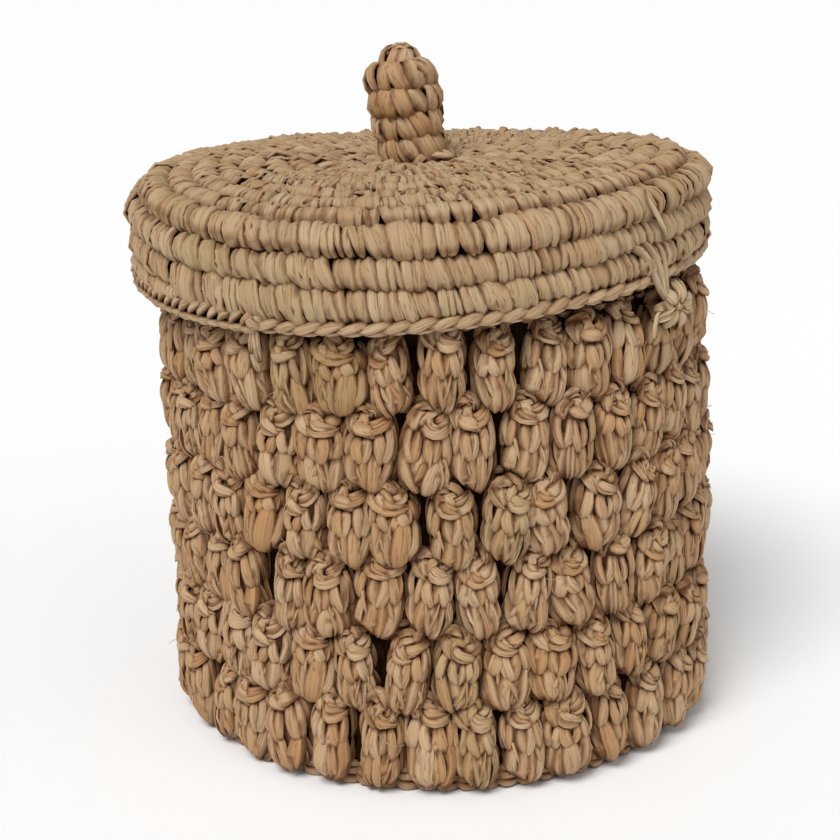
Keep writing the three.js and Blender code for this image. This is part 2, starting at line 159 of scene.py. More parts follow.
# Stitches that the frame leaves out. Each kind of stitch and each piece draws from a seed of its own.
POPCORN_KINDS = 18
PLAIN_KINDS = 5
WRAP_KINDS = 15
STRAY_KINDS = 8
EDGING_KINDS = 6
KNOB_KINDS = 9
PETALS = 7
PETAL_SPAN = 222  # degrees of a popcorn that its petals go round
MOUTH_LINKS = 5
LOWEST_POPCORN = 4.6 * MM
POST_ROWS = 3
BASE_PITCH = 6.4 * MM
BASE_SPACING = 5.6 * MM  # of the stitches along each of the bottom's rounds
NECK_STITCHES = 84
WRAP_PLIES = ((1, 0), (2, 0), (2, 1), (1, 2), (3, 0))  # strands side by side, and folds in each
CROWN_STRAYS = 900
YOUNG_AZIMUTH = -47  # where the greenish strands lie on the lid's side
YOUNG_DRIFT = 11.5  # degrees that they move on with each turn
YOUNG_REACH = 9  # degrees to either side
EDGING_STITCHES = 88
EDGING_SINGLE = 0.62  # share of the edging that is a single chain
DOUBLE_CLOSENESS = 1.5  # how much closer the stitches of the double chain stand
KNOT_PETALS = 7
KNOB_SPACING = 4.1 * MM  # of the stitches along the knob's cord
SHOULDER_LEAVES = 16
TOP_LEAVES = 14
COLLAR_LEAVES = 18


# Small tools for directions and routes

def azimuth(degrees):
    """Angle of a direction that is so many degrees from the front, towards the right."""
    return (degrees - 90) * DEGREE


def polar(angle, radius=1.0, height=0.0):
    """A point round the upright axis, or the level direction of the angle."""
    return radius * math.cos(angle), radius * math.sin(angle), height


def unit(vectors):
    vectors = np.asarray(vectors, float)
    return vectors / np.maximum(np.linalg.norm(vectors, axis=-1, keepdims=True), 1e-12)


def smooth_route(route, shares):
    """Points at the given shares of a smooth route through a few given ones."""
    route = np.asarray(route, float)
    spot = np.clip(np.asarray(shares, float), 0, 1) * (len(route) - 1)
    leg = np.minimum(spot.astype(int), len(route) - 2)
    part = (spot - leg)[:, None]
    before = route[np.maximum(leg - 1, 0)]
    start = route[leg]
    end = route[leg + 1]
    after = route[np.minimum(leg + 2, len(route) - 1)]
    bend = 2 * before - 5 * start + 4 * end - after
    twist = 3 * (start - end) + after - before
    return start + 0.5 * part * ((end - before) + part * (bend + part * twist))


def even_turns(point_at, start, end, pitch):
    """Turns at which stitches of one pitch stand along a wound cord."""
    fine = np.linspace(start, end, int((end - start) * 200) + 2)
    route = np.array([point_at(turn) for turn in fine])
    run = np.concatenate([[0], np.cumsum(np.linalg.norm(np.diff(route, axis=0), axis=1))])
    count = max(2, round(run[-1] / pitch))
    return np.interp((np.arange(count) + 0.5) / count * run[-1], run, fine)


def facing_frame(out, up):
    """Turn of a stitch whose face looks out and whose top points up: its y is out and its z is up."""
    y = Vector(out).normalized()
    x = y.cross(Vector(up)).normalized()
    return Matrix((x, y, x.cross(y))).transposed()


# Where the wall and the lid's cords run

def front_radius(height):
    return FRONT_RADIUS - TAPER * height


def wall_point(angle, radius, height):
    """A point of the basket, whose upright axis bends to the left."""
    x, y, _ = polar(angle, radius)
    bend = height / BEND_RADIUS
    return FOOT_CENTRE + Vector((x - bend * height / 2, y, height + bend * x))


def wall_turn(angle, height, tip=0.0):
    """Turn of a stitch on the wall, its face outward, tipped back by so many radians."""
    out = polar(angle, math.cos(tip), math.sin(tip))
    up = polar(angle, -math.sin(tip), math.cos(tip))
    return Matrix.Rotation(-height / BEND_RADIUS, 3, "Y") @ facing_frame(out, up)


def foot_point(angle, radius, height):
    """A point of the level bottom."""
    return FOOT_CENTRE + Vector(polar(angle, radius, height))


def round_phase(number):
    return azimuth(FIRST_PHASE) + number * LOBE / 2


def climbed(turn):
    """How many turns out the lid's cord lies: level rounds that climb in a jog."""
    whole = math.floor(turn)
    part = (turn - whole - 0.5) / JOG_SHRINK**whole + 0.5
    return whole + min(max(part, 0.0), 1.0)


def jog_start(turn):
    return turn + 0.5 - JOG_SHRINK**turn / 2


def crown_height(radius):
    peak = CROWN_RADIUS * CROWN_PEAK
    top = CROWN_EDGE + CROWN_SWELL
    if radius < peak:
        return top - CROWN_DISH * (1 - radius / peak) ** 2
    return top - CROWN_SWELL * ((radius - peak) / (CROWN_RADIUS - peak)) ** 2


def lid_profile(level):
    """Radius and height of the cord's middle at a level, from the crown's middle to the lid's edge."""
    if level <= CROWN_TURNS:
        radius = EYE_RADIUS + CROWN_PITCH * level
        return radius, crown_height(radius)
    over = min(level - CROWN_TURNS, 1.0)
    down = max(level - CROWN_TURNS - 1, 0.0)
    bulge = SHOULDER_BULGE * math.sin(math.pi * over)
    height = CROWN_EDGE * (1 - over) + SKIRT_TOP_TURN * over - SKIRT_PITCH * down
    return CROWN_RADIUS + (SKIRT_RADIUS - CROWN_RADIUS) * over + bulge / 2, height + bulge


def lid_point(angle, radius, height):
    wave = LID_WARP[0] * math.cos(2 * angle) + LID_WARP[1] * math.sin(2 * angle)
    return Vector(polar(angle, radius, height + wave * (radius / SKIRT_RADIUS) ** 2))


def cord_angle(turn):
    return azimuth(JOG_AZIMUTH) + math.pi + turn * TURN


def lid_cord_point(turn):
    return lid_point(cord_angle(turn), *lid_profile(climbed(turn)))


def lid_matrix():
    place = wall_point(0, 0, WALL_TOP) + Vector((*LID_SHIFT, 0))
    place.z = LID_FOOT
    tilt = Matrix.Rotation(math.atan(LID_SLOPE[1]), 4, "X")
    tilt @= Matrix.Rotation(-math.atan(LID_SLOPE[0]), 4, "Y")
    return Matrix.Translation(place) @ tilt


def knob_matrix():
    rise = crown_height(0) + LID_CORD / 2 + COLLAR_RADIUS * math.sin(KNOB_LEAN)
    return lid_matrix() @ Matrix.Translation((0, 0, rise)) @ Matrix.Rotation(-KNOB_LEAN, 4, "Y")


def knob_level(turn):
    whole = math.floor(turn)
    return whole + min(max((turn - whole - 0.5) / KNOB_JOG + 0.5, 0.0), 1.0)


def knob_cord_point(turn):
    level = knob_level(turn)
    radius = KNOB_RADIUS + KNOB_BELLY * math.sin(math.pi * level / (KNOB_RINGS - 1))
    return Vector(polar(azimuth(0) + turn * TURN, radius, KNOB_FIRST_RING + KNOB_PITCH * level))


def knob_ring_point(turn):
    """A point of the knob's cord as it is drawn in by its stitches."""
    point = knob_cord_point(turn)
    drawn = np.interp(knob_level(turn), range(KNOB_RINGS), (0.2, 2.0, 0.9, 0.3)) * MM
    return point - Vector((point.x, point.y, 0)).normalized() * drawn


def hoop(point_at, outline, sides=72):
    """Rings of a plain form that goes round, from the radii and heights of its outline."""
    angles = [side / sides * TURN for side in range(sides)]
    return [[point_at(angle, radius, height) for radius, height in outline] for angle in angles]


def oblong(start, end, low, high):
    """Outline between two radii and two heights."""
    return (start, low), (end, low), (end, high), (start, high)


def fitting(radius, pitch):
    """How many stitches of a pitch stand in a ring."""
    return round(TURN * radius / pitch)


def neighbours(across, up, back=0.0):
    """Steps from a stitch to those beside it, and to the staggered ones above and below."""
    level = [(side * across, back, 0) for side in (-1, 1)]
    return level + [(side * across / 2, 0, rise * up) for side in (-1, 1) for rise in (-1, 1)]


# Raffia strands

# Painted shade of a point, by how tucked away it is: 0 in the open and 1 in a crevice
MOST_TUCKED = 1.2
CORE = 1.1  # of the dark cores that show between strands as painted shade
PLAIN = 1.5  # above it lie the plain forms, which have the painted hollow shade
HIDDEN = 2.0  # of the plain forms that strands cover
VALLEY = 0.45  # painted shade between a strand's folds
# Painted shade along a strand's edges and on its underside
EDGE = 0.75
UNDERSIDE = 0.9
LEAF_EDGE = 1.15  # of a strand without folds
LEAF_BORDER = 0.22  # where its facets meet the narrow strips along its edges

LEAF_BEND = 0.74  # share of the half width where those strips begin

RAYS = 18  # sent out from each point to find how much shade to paint on it
RAY_START = 0.12 * MM
RAY_REACH = 3.2 * MM
GOLDEN_TURN = 2.39996


def store(mesh, name, kind, values, domain="POINT"):
    """Keeps values on a mesh under a name."""
    field = "vector" if kind == "FLOAT_VECTOR" else "value"
    mesh.attributes.new(name, kind, domain).data.foreach_set(field, np.ravel(values))


class Strands:
    """Raffia strands gathered into one mesh, each a closed flat tube with folds along it."""

    def __init__(self, seed):
        self.random = np.random.default_rng(seed)
        self.points = []
        self.faces = []
        self.strand = []
        self.tuck = []
        self.ring = []

    def vary(self, spread):
        """A random number round nothing, at most the spread away."""
        return self.random.uniform(-spread, spread)

    def around(self, count, spread):
        """Numbers and angles of so many strands round an axis, each at most the spread off its place."""
        for number in range(count):
            yield number, number / count * TURN + self.vary(spread)

    def _rings(self, rings, strand, tuck, closed):
        first = len(self.points)
        count, sides = rings.shape[:2]
        self.points.extend(rings.reshape(-1, 3))
        self.strand.extend(strand.reshape(-1, 3))
        self.tuck.extend(tuck.reshape(-1))
        self.ring.extend(first + np.repeat(np.arange(count), sides))
        for ring in range(count if closed else count - 1):
            near = first + ring * sides
            far = first + (ring + 1) % count * sides
            for side in range(sides):
                after = (side + 1) % sides
                self.faces.append((near + side, near + after, far + after, far + side))
        if not closed:
            self.faces.append(tuple(first + side for side in reversed(range(sides))))
            self.faces.append(tuple(first + (count - 1) * sides + side for side in range(sides)))

    def lay(self, route, facing, width, thickness, steps=6, ends=0.4, folds=2):
        """Adds one strand along a route, its face turned to the given directions, widest half way.

        With no folds it is a full leaf: two broad facets between narrow edges in painted shade.
        """
        share = np.linspace(0, 1, steps + 1)
        centre = smooth_route(route, share)
        along = unit(np.gradient(centre, axis=0))
        out = smooth_route(np.broadcast_to(facing, (2, 3)) if np.ndim(facing) == 1 else facing, share)
        out = unit(out - along * np.sum(out * along, axis=1, keepdims=True))
        across = np.cross(along, out)
        inner = 2 * folds - 1 if folds else 3
        drift = self.vary(0.45) / max(folds, 1.5)
        if folds:
            spots = np.linspace(-1, 1, inner + 2)[1:-1] + self.random.uniform(-0.25, 0.25, inner) / folds
        else:
            spots = np.array((-LEAF_BEND, self.vary(0.35), LEAF_BEND))
        section = np.zeros((steps + 1, inner + 3))
        section[:, 0] = -1
        section[:, 1 : inner + 1] = spots + drift * (2 * share[:, None] - 1) * (1 - np.abs(spots) ** 2)
        section[:, inner + 1] = 1
        crests = np.arange(inner) % 2 == 0
        ridges = np.where(crests, self.random.uniform(0.5, 1, inner), self.random.uniform(0, 0.35, inner))
        if not folds:
            ridges = np.array((0.66 + self.vary(0.14), 1, 0.66 + self.vary(0.14)))
        swell = ends + (1 - ends) * np.sin(math.pi * share) ** 0.7
        broad = np.interp(share, np.linspace(0, 1, np.size(width)), np.ravel(width)) / 2 * swell
        thick = thickness * swell**0.5 * np.minimum(1, 0.35 + broad / np.max(broad))
        wide = broad[:, None] * section
        deep = thick[:, None] * np.concatenate([[0], ridges, [0, -0.7]])
        rings = centre[:, None] + across[:, None] * wide[..., None] + out[:, None] * deep[..., None]
        run = np.concatenate([[0], np.cumsum(np.linalg.norm(np.diff(centre, axis=0), axis=1))])
        strand = np.stack(np.broadcast_arrays(wide / MM, run[:, None] / MM, self.random.uniform()), axis=-1)
        # Painted shade: darker towards the strand's ends, between its folds, along its edges and on its
        # underside
        end = (1 - np.sin(math.pi * np.clip(share, 0.02, 0.98)) ** 0.5)[:, None]
        fold = np.zeros(inner + 3)
        fold[2 : inner + 1 : 2] = VALLEY if folds else 0
        fold[[0, inner + 1]] = EDGE if folds else LEAF_EDGE
        fold[[1, inner]] += 0 if folds else LEAF_BORDER
        fold[-1] = UNDERSIDE
        tuck = np.clip(end * 1.1 + fold * (0.8 + self.vary(0.2)), 0, 1)
        self._rings(rings, strand, tuck, False)

    def tube(self, route, radius, sides=8, closed=False, dark=HIDDEN):
        """Adds a plain round cord."""
        centre = np.asarray(route, float)
        if closed:
            along = unit(np.roll(centre, -1, axis=0) - np.roll(centre, 1, axis=0))
        else:
            along = unit(np.gradient(centre, axis=0))
        across = unit(np.cross(along, UP))
        rise = np.cross(across, along)
        turn = (np.arange(sides) / sides * TURN)[:, None]
        reach = np.broadcast_to(radius, len(centre))[:, None, None]
        rings = centre[:, None] - reach * (across[:, None] * np.cos(turn) - rise[:, None] * np.sin(turn))
        self.rings(rings, closed, dark)

    def rings(self, rings, closed=False, dark=HIDDEN):
        """Adds a plain form given by its rings of points."""
        rings = np.asarray(rings, float)
        self._rings(rings, np.zeros(rings.shape), np.full(rings.shape[:2], dark), closed)

    def moved(self, matrix):
        """Puts all that was laid so far where the matrix says."""
        turn = np.array(matrix.to_3x3())
        self.points = list(np.asarray(self.points) @ turn.T + np.array(matrix.translation))
        return self

    def shade_crevices(self, beside=(), strength=1.0):
        """Paints shade on each point by how much of the space before it is filled, by the stitches beside it
        too.
        """
        points = np.asarray(self.points)
        normals = np.zeros(points.shape)
        for face in self.faces:
            corners = points[list(face[:4])]
            normals[list(face)] += np.cross(corners[2] - corners[0], corners[-1] - corners[1])
        normals = unit(normals)
        steps = np.array([(0, 0, 0), *beside], float)
        filled = (points[None] + steps[:, None]).reshape(-1, 3)
        firsts = [copy * len(points) for copy in range(len(steps))]
        faces = [tuple(first + corner for corner in face) for first in firsts for face in self.faces]
        tree = BVHTree.FromPolygons(filled.tolist(), faces)
        shares = (np.arange(RAYS) + 0.5) / RAYS
        ways = [polar(ray * GOLDEN_TURN, share**0.5, (1 - share) ** 0.5) for ray, share in enumerate(shares)]
        side = unit(np.cross(normals, (0.31, 0.52, 0.79)))
        other = np.cross(normals, side)
        for index, point in enumerate(points):
            if self.tuck[index] > PLAIN:
                continue
            start = Vector(point + normals[index] * RAY_START)
            closed = 0.0
            for way in ways @ np.stack((side[index], other[index], normals[index])):
                distance = tree.ray_cast(start, Vector(way), RAY_REACH)[3]
                if distance is not None:
                    closed += 1 - 0.6 * distance / RAY_REACH
            self.tuck[index] = min(0.4 * self.tuck[index] + strength * closed / RAYS, MOST_TUCKED)
        return self

    def darker(self, amount):
        """Paints so much more shade on everything."""
        self.tuck = list(np.minimum(np.array(self.tuck) + amount, np.maximum(self.tuck, MOST_TUCKED)))
        return self

    def mesh(self, name):
        mesh = bpy.data.meshes.new(name)
        mesh.from_pydata([tuple(point) for point in self.points], [], self.faces)
        store(mesh, "strand", "FLOAT_VECTOR", self.strand)
        store(mesh, "tuck", "FLOAT", self.tuck)
        ends = np.empty(2 * len(mesh.edges), int)
        mesh.edges.foreach_get("vertices", ends)
        rings = np.asarray(self.ring)[ends].reshape(-1, 2)
        mesh.shade_smooth()
        store(mesh, "sharp_edge", "BOOLEAN", rings[:, 0] != rings[:, 1], "EDGE")
        return mesh

    def object(self, name, finish):
        """Makes the strands an object, its plain forms in the painted hollow shade."""
        made = bpy.data.objects.new(name, self.mesh(name))
        bpy.context.scene.collection.objects.link(made)
        made.data.materials.append(finish)
        made.data.materials.append(painted_hollow_shade())
        plain = [int(self.tuck[face[0]] > PLAIN) for face in self.faces]
        made.data.polygons.foreach_set("material_index", plain)
        return made


# Stitches, each in its own small frame: x across, y outward, z up

def popcorn(seed, sizes):
    """A popcorn stitch: petals drawn together at the foot, short posts over them, and a braided mouth."""
    strands = Strands(seed)
    vary = strands.vary
    uniform = strands.random.uniform
    height = ROUND_HEIGHT + 2 * POPCORN_NEST - 0.6 * MM
    thick = sizes.strand_thickness
    half_width = sizes.popcorn_width / 2 * (1 + vary(0.05)) - thick * 1.2
    depth = POPCORN_DEPTH - 1.3 * MM
    turned = vary(24)
    twist = vary(22)
    mouth = 0.62 + vary(0.05)
    waist = 0.4 + vary(0.06)
    levels = (0, 0.08, 0.2, 0.45, 0.72, 1)
    fullness = (0.84 + vary(0.08), 0.92, 0.97, 1.0, 0.98, 0.88 + vary(0.05))
    tilt = vary(0.06)
    broad = sizes.strand_width * (1 + vary(0.1))

    def some_folds(*counts):
        return int(strands.random.choice(counts))

    def lip(degrees):
        """Height of the mouth's rim."""
        return height * (mouth + (1 - mouth) * (1 - math.cos((degrees - turned) * DEGREE)) / 2)

    def skin(degrees, share, lift):
        """A point at a share of the height, lifted by so many millimetres."""
        y, x, _ = polar((degrees + twist * (share - 0.5)) * DEGREE)
        full = np.interp(share, levels, fullness)
        out = unit((depth * x, half_width * y, 0))
        return np.array((half_width * full * x, depth * full * y, height * share)) + out * lift * MM

    def outward(degrees, rise=0.0):
        return unit((math.sin(degrees * DEGREE), math.cos(degrees * DEGREE), rise))

    hub = np.array((vary(0.8 * MM), depth * 0.5, height * (mouth + 1) / 2))
    face = unit((0, 0.8, 0.6))

    def cap(degrees, share, lift):
        """A point of the mouth: share 0 is its middle and 1 its rim."""
        rim = skin(degrees, lip(degrees) / height, 0)
        rim[1] = max(rim[1], 1.2 * MM)
        return hub + (rim - hub) * share + face * (lift + 1.0 * (1 - min(share, 1) ** 2)) * MM

    # A dark core under the strands, which shows as painted shade through the gaps between them
    around = range(0, 360, 36)
    shares = (0.02, 0.3, 0.65, 0.95)
    core = [[skin(side, share * lip(side) / height, -0.5) for side in around] for share in shares]
    core = np.array([*core, [cap(side, 0.5, -0.9) for side in around]])
    core[..., 1] = np.maximum(core[..., 1], 0.8 * MM)
    strands.rings(core, dark=CORE)

    # Petals: broad leaves from under the posts to the foot
    shares = uniform(0.68, 1.18, PETALS)
    shares *= PETAL_SPAN / shares.sum()
    spots = np.cumsum(shares) - shares / 2 - PETAL_SPAN / 2
    for spot, share in zip(spots, shares):
        slant = vary(21)
        top = waist + 0.1 + vary(0.05)
        lift = vary(0.55)
        foot = vary(0.03) + tilt * math.sin(spot * DEGREE)
        wide = share * DEGREE * half_width * 1.26
        route = [
            skin(spot * 1.06 + slant, top, -1.0),
            skin(spot + slant * 0.6, top * 0.72, lift),
            skin(spot, top * 0.38, 0.3 + lift),
            skin(spot * 0.93 - slant * 0.3, 0.07 + foot, 0.1),
            skin(spot * 0.84 - slant * 0.4, -0.02 + foot, -2.0),
        ]
        facing = [outward(spot + vary(12)), outward(spot + vary(12), -0.2), outward(spot * 0.95, -0.5)]
        widths = np.array((0.2, 0.8, 1.06, 1.04, 0.94, 0.8)) * wide
        strands.lay(route, facing, widths, thick * (1.5 + vary(0.3)), 8, 0.97, some_folds(0, 1, 1, 2))
        if strands.random.random() < 0.5:
            side = strands.random.choice((-1, 1)) * share * 0.5
            route = [
                skin(spot + side * 1.5, top * 0.8, -0.5),
                skin(spot + side * 0.5, top * 0.45, 1.3),
                skin(spot - side * 0.8, 0.04, 0.1),
            ]
            strands.lay(route, outward(spot + side), wide * uniform(0.3, 0.56), thick * 1.1, folds=1)

    # Posts: short strands in pairs that meet at a point above the petals
    for post in (-2, -1, 0, 1, 2):
        spot = post * 47 + vary(8)
        low = waist - 0.04 + vary(0.05)
        for side in (-1, 1):
            spread = side * (12 + vary(4))
            top = lip(spot + spread) / height + 0.01
            lift = vary(0.4)
            route = [
                skin(spot + spread * 1.1, top, -0.8),
                skin(spot + spread * 1.15, low + 0.62 * (top - low), 0.5 + lift),
                skin(spot + spread * 0.7, low + 0.25 * (top - low), 0.6 + lift),
                skin(spot + spread * 0.1, low - 0.03, -0.5),
            ]
            facing = [outward(spot + spread * 2.2), outward(spot + spread * 0.6)]
            width = broad * (1.26 + vary(0.22))
            strands.lay(route, facing, width, thick * (1.4 + vary(0.25)), ends=0.5, folds=some_folds(0, 0, 1))

    # Mouth: a ring of chain stitches, its strands passing over and under
    for place in range(MOUTH_LINKS):
        start = turned - 25 + place * 360 / MOUTH_LINKS + vary(16)
        bend = uniform(0.62, 0.96)
        reach = uniform(0.8, 1.15)
        for spots, shares, lifts, size in (
            ((-24, 10, 48 * reach, 90 * reach), (0.92, bend, bend * 0.92, 0.5), (-0.8, 0.7, 0.8, -0.5), 1.26),
            ((-14, 30, 84 * reach), (0.98, 0.6, 0.26), (-0.3, 1.2, -0.7), 1.1),
        ):
            steps = zip(spots, shares, lifts)
            route = [cap(start + spot, share + vary(0.06), lift) for spot, share, lift in steps]
            facing = [outward(start + spot, 0.7) + face * 0.8 for spot in (spots[0] * 1.2, spots[-1])]
            width = broad * (size + vary(0.25))
            strands.lay(route, facing, width, thick * (1.35 + vary(0.25)), 7, 0.5, some_folds(0, 1, 2))

    # Middle of the mouth and a loose end
    for number in (0, 1):
        start = turned + 80 * number + vary(50)
        route = [cap(start, 0.7, -0.7), cap(start + 60, 0.1, 0.4), cap(start + 175, 0.55, -0.8)]
        strands.lay(route, face, broad * (1.0 + vary(0.2)), thick * 1.3, folds=0)
    start = vary(70)
    swing = vary(35)
    steps = ((0, 0.6 + vary(0.08), -0.3), (0.6, 0.4, 1.5), (1, 0.16, -0.2))
    route = [skin(start + swing * step, share, lift) for step, share, lift in steps]
    strands.lay(route, outward(start), broad * 0.4, thick * 0.7, folds=1)
    return strands


def round_cord(side, degrees, rise):
    """A point beside the middle of the lid's cord, so many millimetres above its face."""
    x, y, _ = polar(degrees * DEGREE, LID_CORD / 2 + rise * MM)
    return side, x, y


def wrap(seed, sizes, ply, folds, pitch):
    """A stitch round a cord: slanting strands from the groove above it to under the coil below."""
    strands = Strands(seed)
    vary = strands.vary
    slant = (1.6 + vary(0.8)) * MM
    shape = (
        (-165, 0.85, -0.4), (-128, 0.75, 0.0), (-98, 0.7, 0.15), (-70, 0.78, 0.6),
        (-44, 0.94, 0.8), (-12, 1.04, 0.85), (25, 1.05, 0.85), (58, 1.0, 0.65),
        (84, 0.95, 0.3), (108, 0.9, -0.1), (140, 0.85, -0.3), (168, 0.85, -0.4),
    )
    shares = strands.random.uniform(0.55, 1.45, ply)
    shares /= shares.sum()
    for share, end in zip(shares, np.cumsum(shares)):
        place = (end - share / 2 - 0.5) * pitch
        lift = strands.random.uniform(-0.15, 0.3) + 0.45 - 2.4 * (place / pitch) ** 2
        sway = slant + vary(0.4 + 0.35 * ply) * MM
        route = []
        facing = []
        for degrees, gather, rise in shape:
            side = place * gather + sway * math.sin(degrees * DEGREE) + vary(0.12 * MM)
            route.append(round_cord(side, degrees, rise + lift * (abs(degrees) < 90)))
            facing.append((vary(0.25), *polar(degrees * DEGREE)[:2]))
        widths = [share * pitch * (1.12 + 0.05 * ply) * gather for _, gather, _ in shape]
        thickness = sizes.strand_thickness * (1.05 + 0.45 * share + vary(0.2))
        strands.lay(route, facing, widths, thickness, 12, 0.9, folds)
    strands.shade_crevices(neighbours(pitch, SKIRT_PITCH), strength=0.68)
    if seed % 5 == 0:
        start = vary(0.3) * pitch
        crossing = ((105, -0.2, -0.2), (62, 0.0, 2.3), (-10, 0.35, 2.6), (-70, 0.5, 1.6), (-105, 0.6, -0.4))
        route = [round_cord(start - share * pitch, degrees, rise) for degrees, share, rise in crossing]
        facing = [UP, (0, 1, 0), (0, 0, -1)]
        strands.lay(route, facing, sizes.strand_width * 0.75, sizes.strand_thickness, 8, folds=0)
    return strands


def stitch_route(reach, *spots):
    """A route of spots whose x is a share of the reach, and whose y and z are millimetres."""
    return [(x * reach, y * MM, z * MM) for x, y, z in spots]


def stray(seed, sizes):
    """A short flat end that lies on the crown, where the coils are felted together."""
    strands = Strands(seed)
    vary = strands.vary
    reach = 2.6 + strands.random.uniform(0, 2.4)
    bend = vary(1.2)
    spots = ((0, -0.5, -reach), (bend, 0.5, -reach * 0.3), (bend, 0.5, reach * 0.4), (0, -0.5, reach))
    route = stitch_route(MM, *spots)
    strands.lay(route, (vary(0.4), 1, 0), sizes.strand_width * (0.6 + vary(0.25)), 0.7 * MM, 5, folds=1)
    return strands


def vee(seed, sizes):
    """A plain upright stitch: two strands that meet at their foot, as good from behind as from the front."""
    strands = Strands(seed)
    vary = strands.vary
    half = sizes.vee_height / 2 / MM
    for side in (-1, 1):
        wide = side * (1.9 + vary(0.3)) * MM
        spots = ((1.1, -0.3, 1.15), (1.15, 0.5, 0.35), (0.75, 0.6, -0.35), (0.15, -0.2, -1.15))
        route = stitch_route(wide, *((x, y, z * half) for x, y, z in spots))
        facing = (vary(0.2), 1, 0)
        width = sizes.strand_width * (1.05 + vary(0.15))
        strands.lay(route, facing, width, sizes.strand_thickness * 1.4, 4, folds=0)
    return strands


def link(seed, sizes):
    """A chain stitch seen from its face: two strands along x that part and meet again."""
    strands = Strands(seed)
    for side in (-1, 1):
        lift = 0.3 * side
        part = side * (1.2 + strands.vary(0.2))
        route = stitch_route(
            sizes.link_length / 2,
            (-1.3, -0.7, part * 0.4),
            (-0.5, 0.6 + lift, part * 1.1),
            (0.5, 0.9 - lift, part * 0.75),
            (1.35, -0.6, -part * 0.2),
        )
        width = sizes.strand_width * (0.824 + strands.vary(0.1))
        strands.lay(route, (0, 1, side * 0.36), width, sizes.strand_thickness * 1.3, ends=0.5, folds=0)
    return strands


def leaf_link(seed, sizes):
    """A chain stitch drawn tight: one broad strand that lies slanting over the next."""
    strands = Strands(seed)
    vary = strands.vary
    reach = sizes.link_length / 2
    width = sizes.strand_width
    thickness = sizes.strand_thickness
    tops = (1.5 + vary(0.3), 0.8 + vary(0.3))
    route = stitch_route(reach, (-1.5, 0, tops[0]), (-0.4, 1.5, tops[1]), (0.6, 1.3, -0.8), (1.5, -0.4, -1.4))
    strands.lay(route, (0, 1, 0.2), width * (1.05 + vary(0.15)), thickness * 1.4, folds=0)
    route = stitch_route(reach, (-1.2, -0.4, -1.6), (0, 0.6, -2.0), (1.3, -0.2, -1.4))
    strands.lay(route, (0, 1, -0.9), width * (0.8 + vary(0.1)), thickness * 1.2, folds=0)
    return strands


def lip_link(seed, sizes):
    """A chain stitch with a smooth lower lip and an upper strand that leaves a notch beside it."""
    strands = Strands(seed)
    vary = strands.vary
    reach = sizes.link_length / 2
    width = sizes.strand_width
    thickness = sizes.strand_thickness
    route = stitch_route(reach, (-1.5, -0.3, -2.0), (-0.2, 1.0, -2.5), (1.4, 0.1, -2.1))
    strands.lay(route, (0, 1, -0.55), width * (0.8 + vary(0.08)), thickness * 1.2, 7, 0.55, 0)
    tops = (3.0 + vary(0.2), 2.2 + vary(0.3))
    route = stitch_route(
        reach, (-0.9, -0.9, tops[0]), (-0.5, 0.9, tops[1]), (0.35, 1.1, 0.4), (1.1, 0, -1.9 + vary(0.3))
    )
    strands.lay(route, (0, 1, 0.25), width * (0.95 + vary(0.12)), thickness * 1.35, 7, 0.45, 0)
    return strands


def make_kinds(name, count, maker):
    """A collection of so many kinds of one stitch, which are set out in many places."""
    kinds = bpy.data.collections.new(name)
    bpy.context.scene.collection.children.link(kinds)
    for number in range(count):
        kind = f"{name}_{number:02d}"
        kinds.objects.link(bpy.data.objects.new(kind, maker(number).mesh(kind)))
    return kinds


def clear_kinds(*collections):
    for kinds in collections:
        for kind in list(kinds.objects):
            bpy.data.meshes.remove(kind.data)
        bpy.data.collections.remove(kinds)


# Node graphs

class Wire:
    """A node's output that takes part in Python sums."""

    def __init__(self, graph, socket):
        self.graph = graph
        self.socket = socket

    def _sum(self, operation, first, second):
        return self.graph.add("ShaderNodeMath", {"operation": operation}, {0: first, 1: second})

    def __add__(self, other):
        return self._sum("ADD", self, other)

    def __sub__(self, other):
        return self._sum("SUBTRACT", self, other)

    def __rsub__(self, other):
        return self._sum("SUBTRACT", other, self)

    def __mul__(self, other):
        return self._sum("MULTIPLY", self, other)

    __radd__ = __add__
    __rmul__ = __mul__


class Graph:
    """A node tree that is written as expressions."""

    def __init__(self, tree):
        self.tree = tree

    @staticmethod
    def _pick(sockets, key):
        if isinstance(key, int):
            return sockets[key]
        return next(socket for socket in sockets if socket.name == key and socket.enabled)

    def add(self, kind, settings=None, values=None, output=0):
        """Adds a node, sets its settings first, then the values or links of its sockets."""
        node = self.tree.nodes.new(kind)
        for name, setting in (settings or {}).items():
            setattr(node, name, setting)
        for name, value in (values or {}).items():
            socket = self._pick(node.inputs, name)
            if isinstance(value, Wire):
                self.tree.links.new(value.socket, socket)
            else:
                socket.default_value = value
        return Wire(self, self._pick(node.outputs, output)) if node.outputs else node

    def mix(self, factor, first, second):
        values = {"Factor": factor, "A": first, "B": second}
        return self.add("ShaderNodeMix", {"data_type": "RGBA"}, values, "Result")

    def vector(self, operation, first, second):
        return self.add("ShaderNodeVectorMath", {"operation": operation}, {0: first, 1: second})

    def scaled(self, vector, factor):
        return self.add("ShaderNodeVectorMath", {"operation": "SCALE"}, {0: vector, "Scale": factor})

    def noise(self, vector, scale, detail=2.0):
        return self.add("ShaderNodeTexNoise", None, {"Vector": vector, "Scale": scale, "Detail": detail})

    def spread(self, value, low, high):
        """A value between low and high spread over 0 to 1."""
        return self.add("ShaderNodeMapRange", None, {"Value": value, "From Min": low, "From Max": high})

    def surface(self, bump, values):
        """Ends a material in its surface, with a bump of a strength and a height."""
        strength, height = bump
        bumps = {"Strength": strength, "Distance": 0.5 * MM, "Height": height}
        values["Normal"] = self.add("ShaderNodeBump", None, bumps)
        shader = self.add("ShaderNodeBsdfPrincipled", None, values)
        self.add("ShaderNodeOutputMaterial", None, {"Surface": shader})


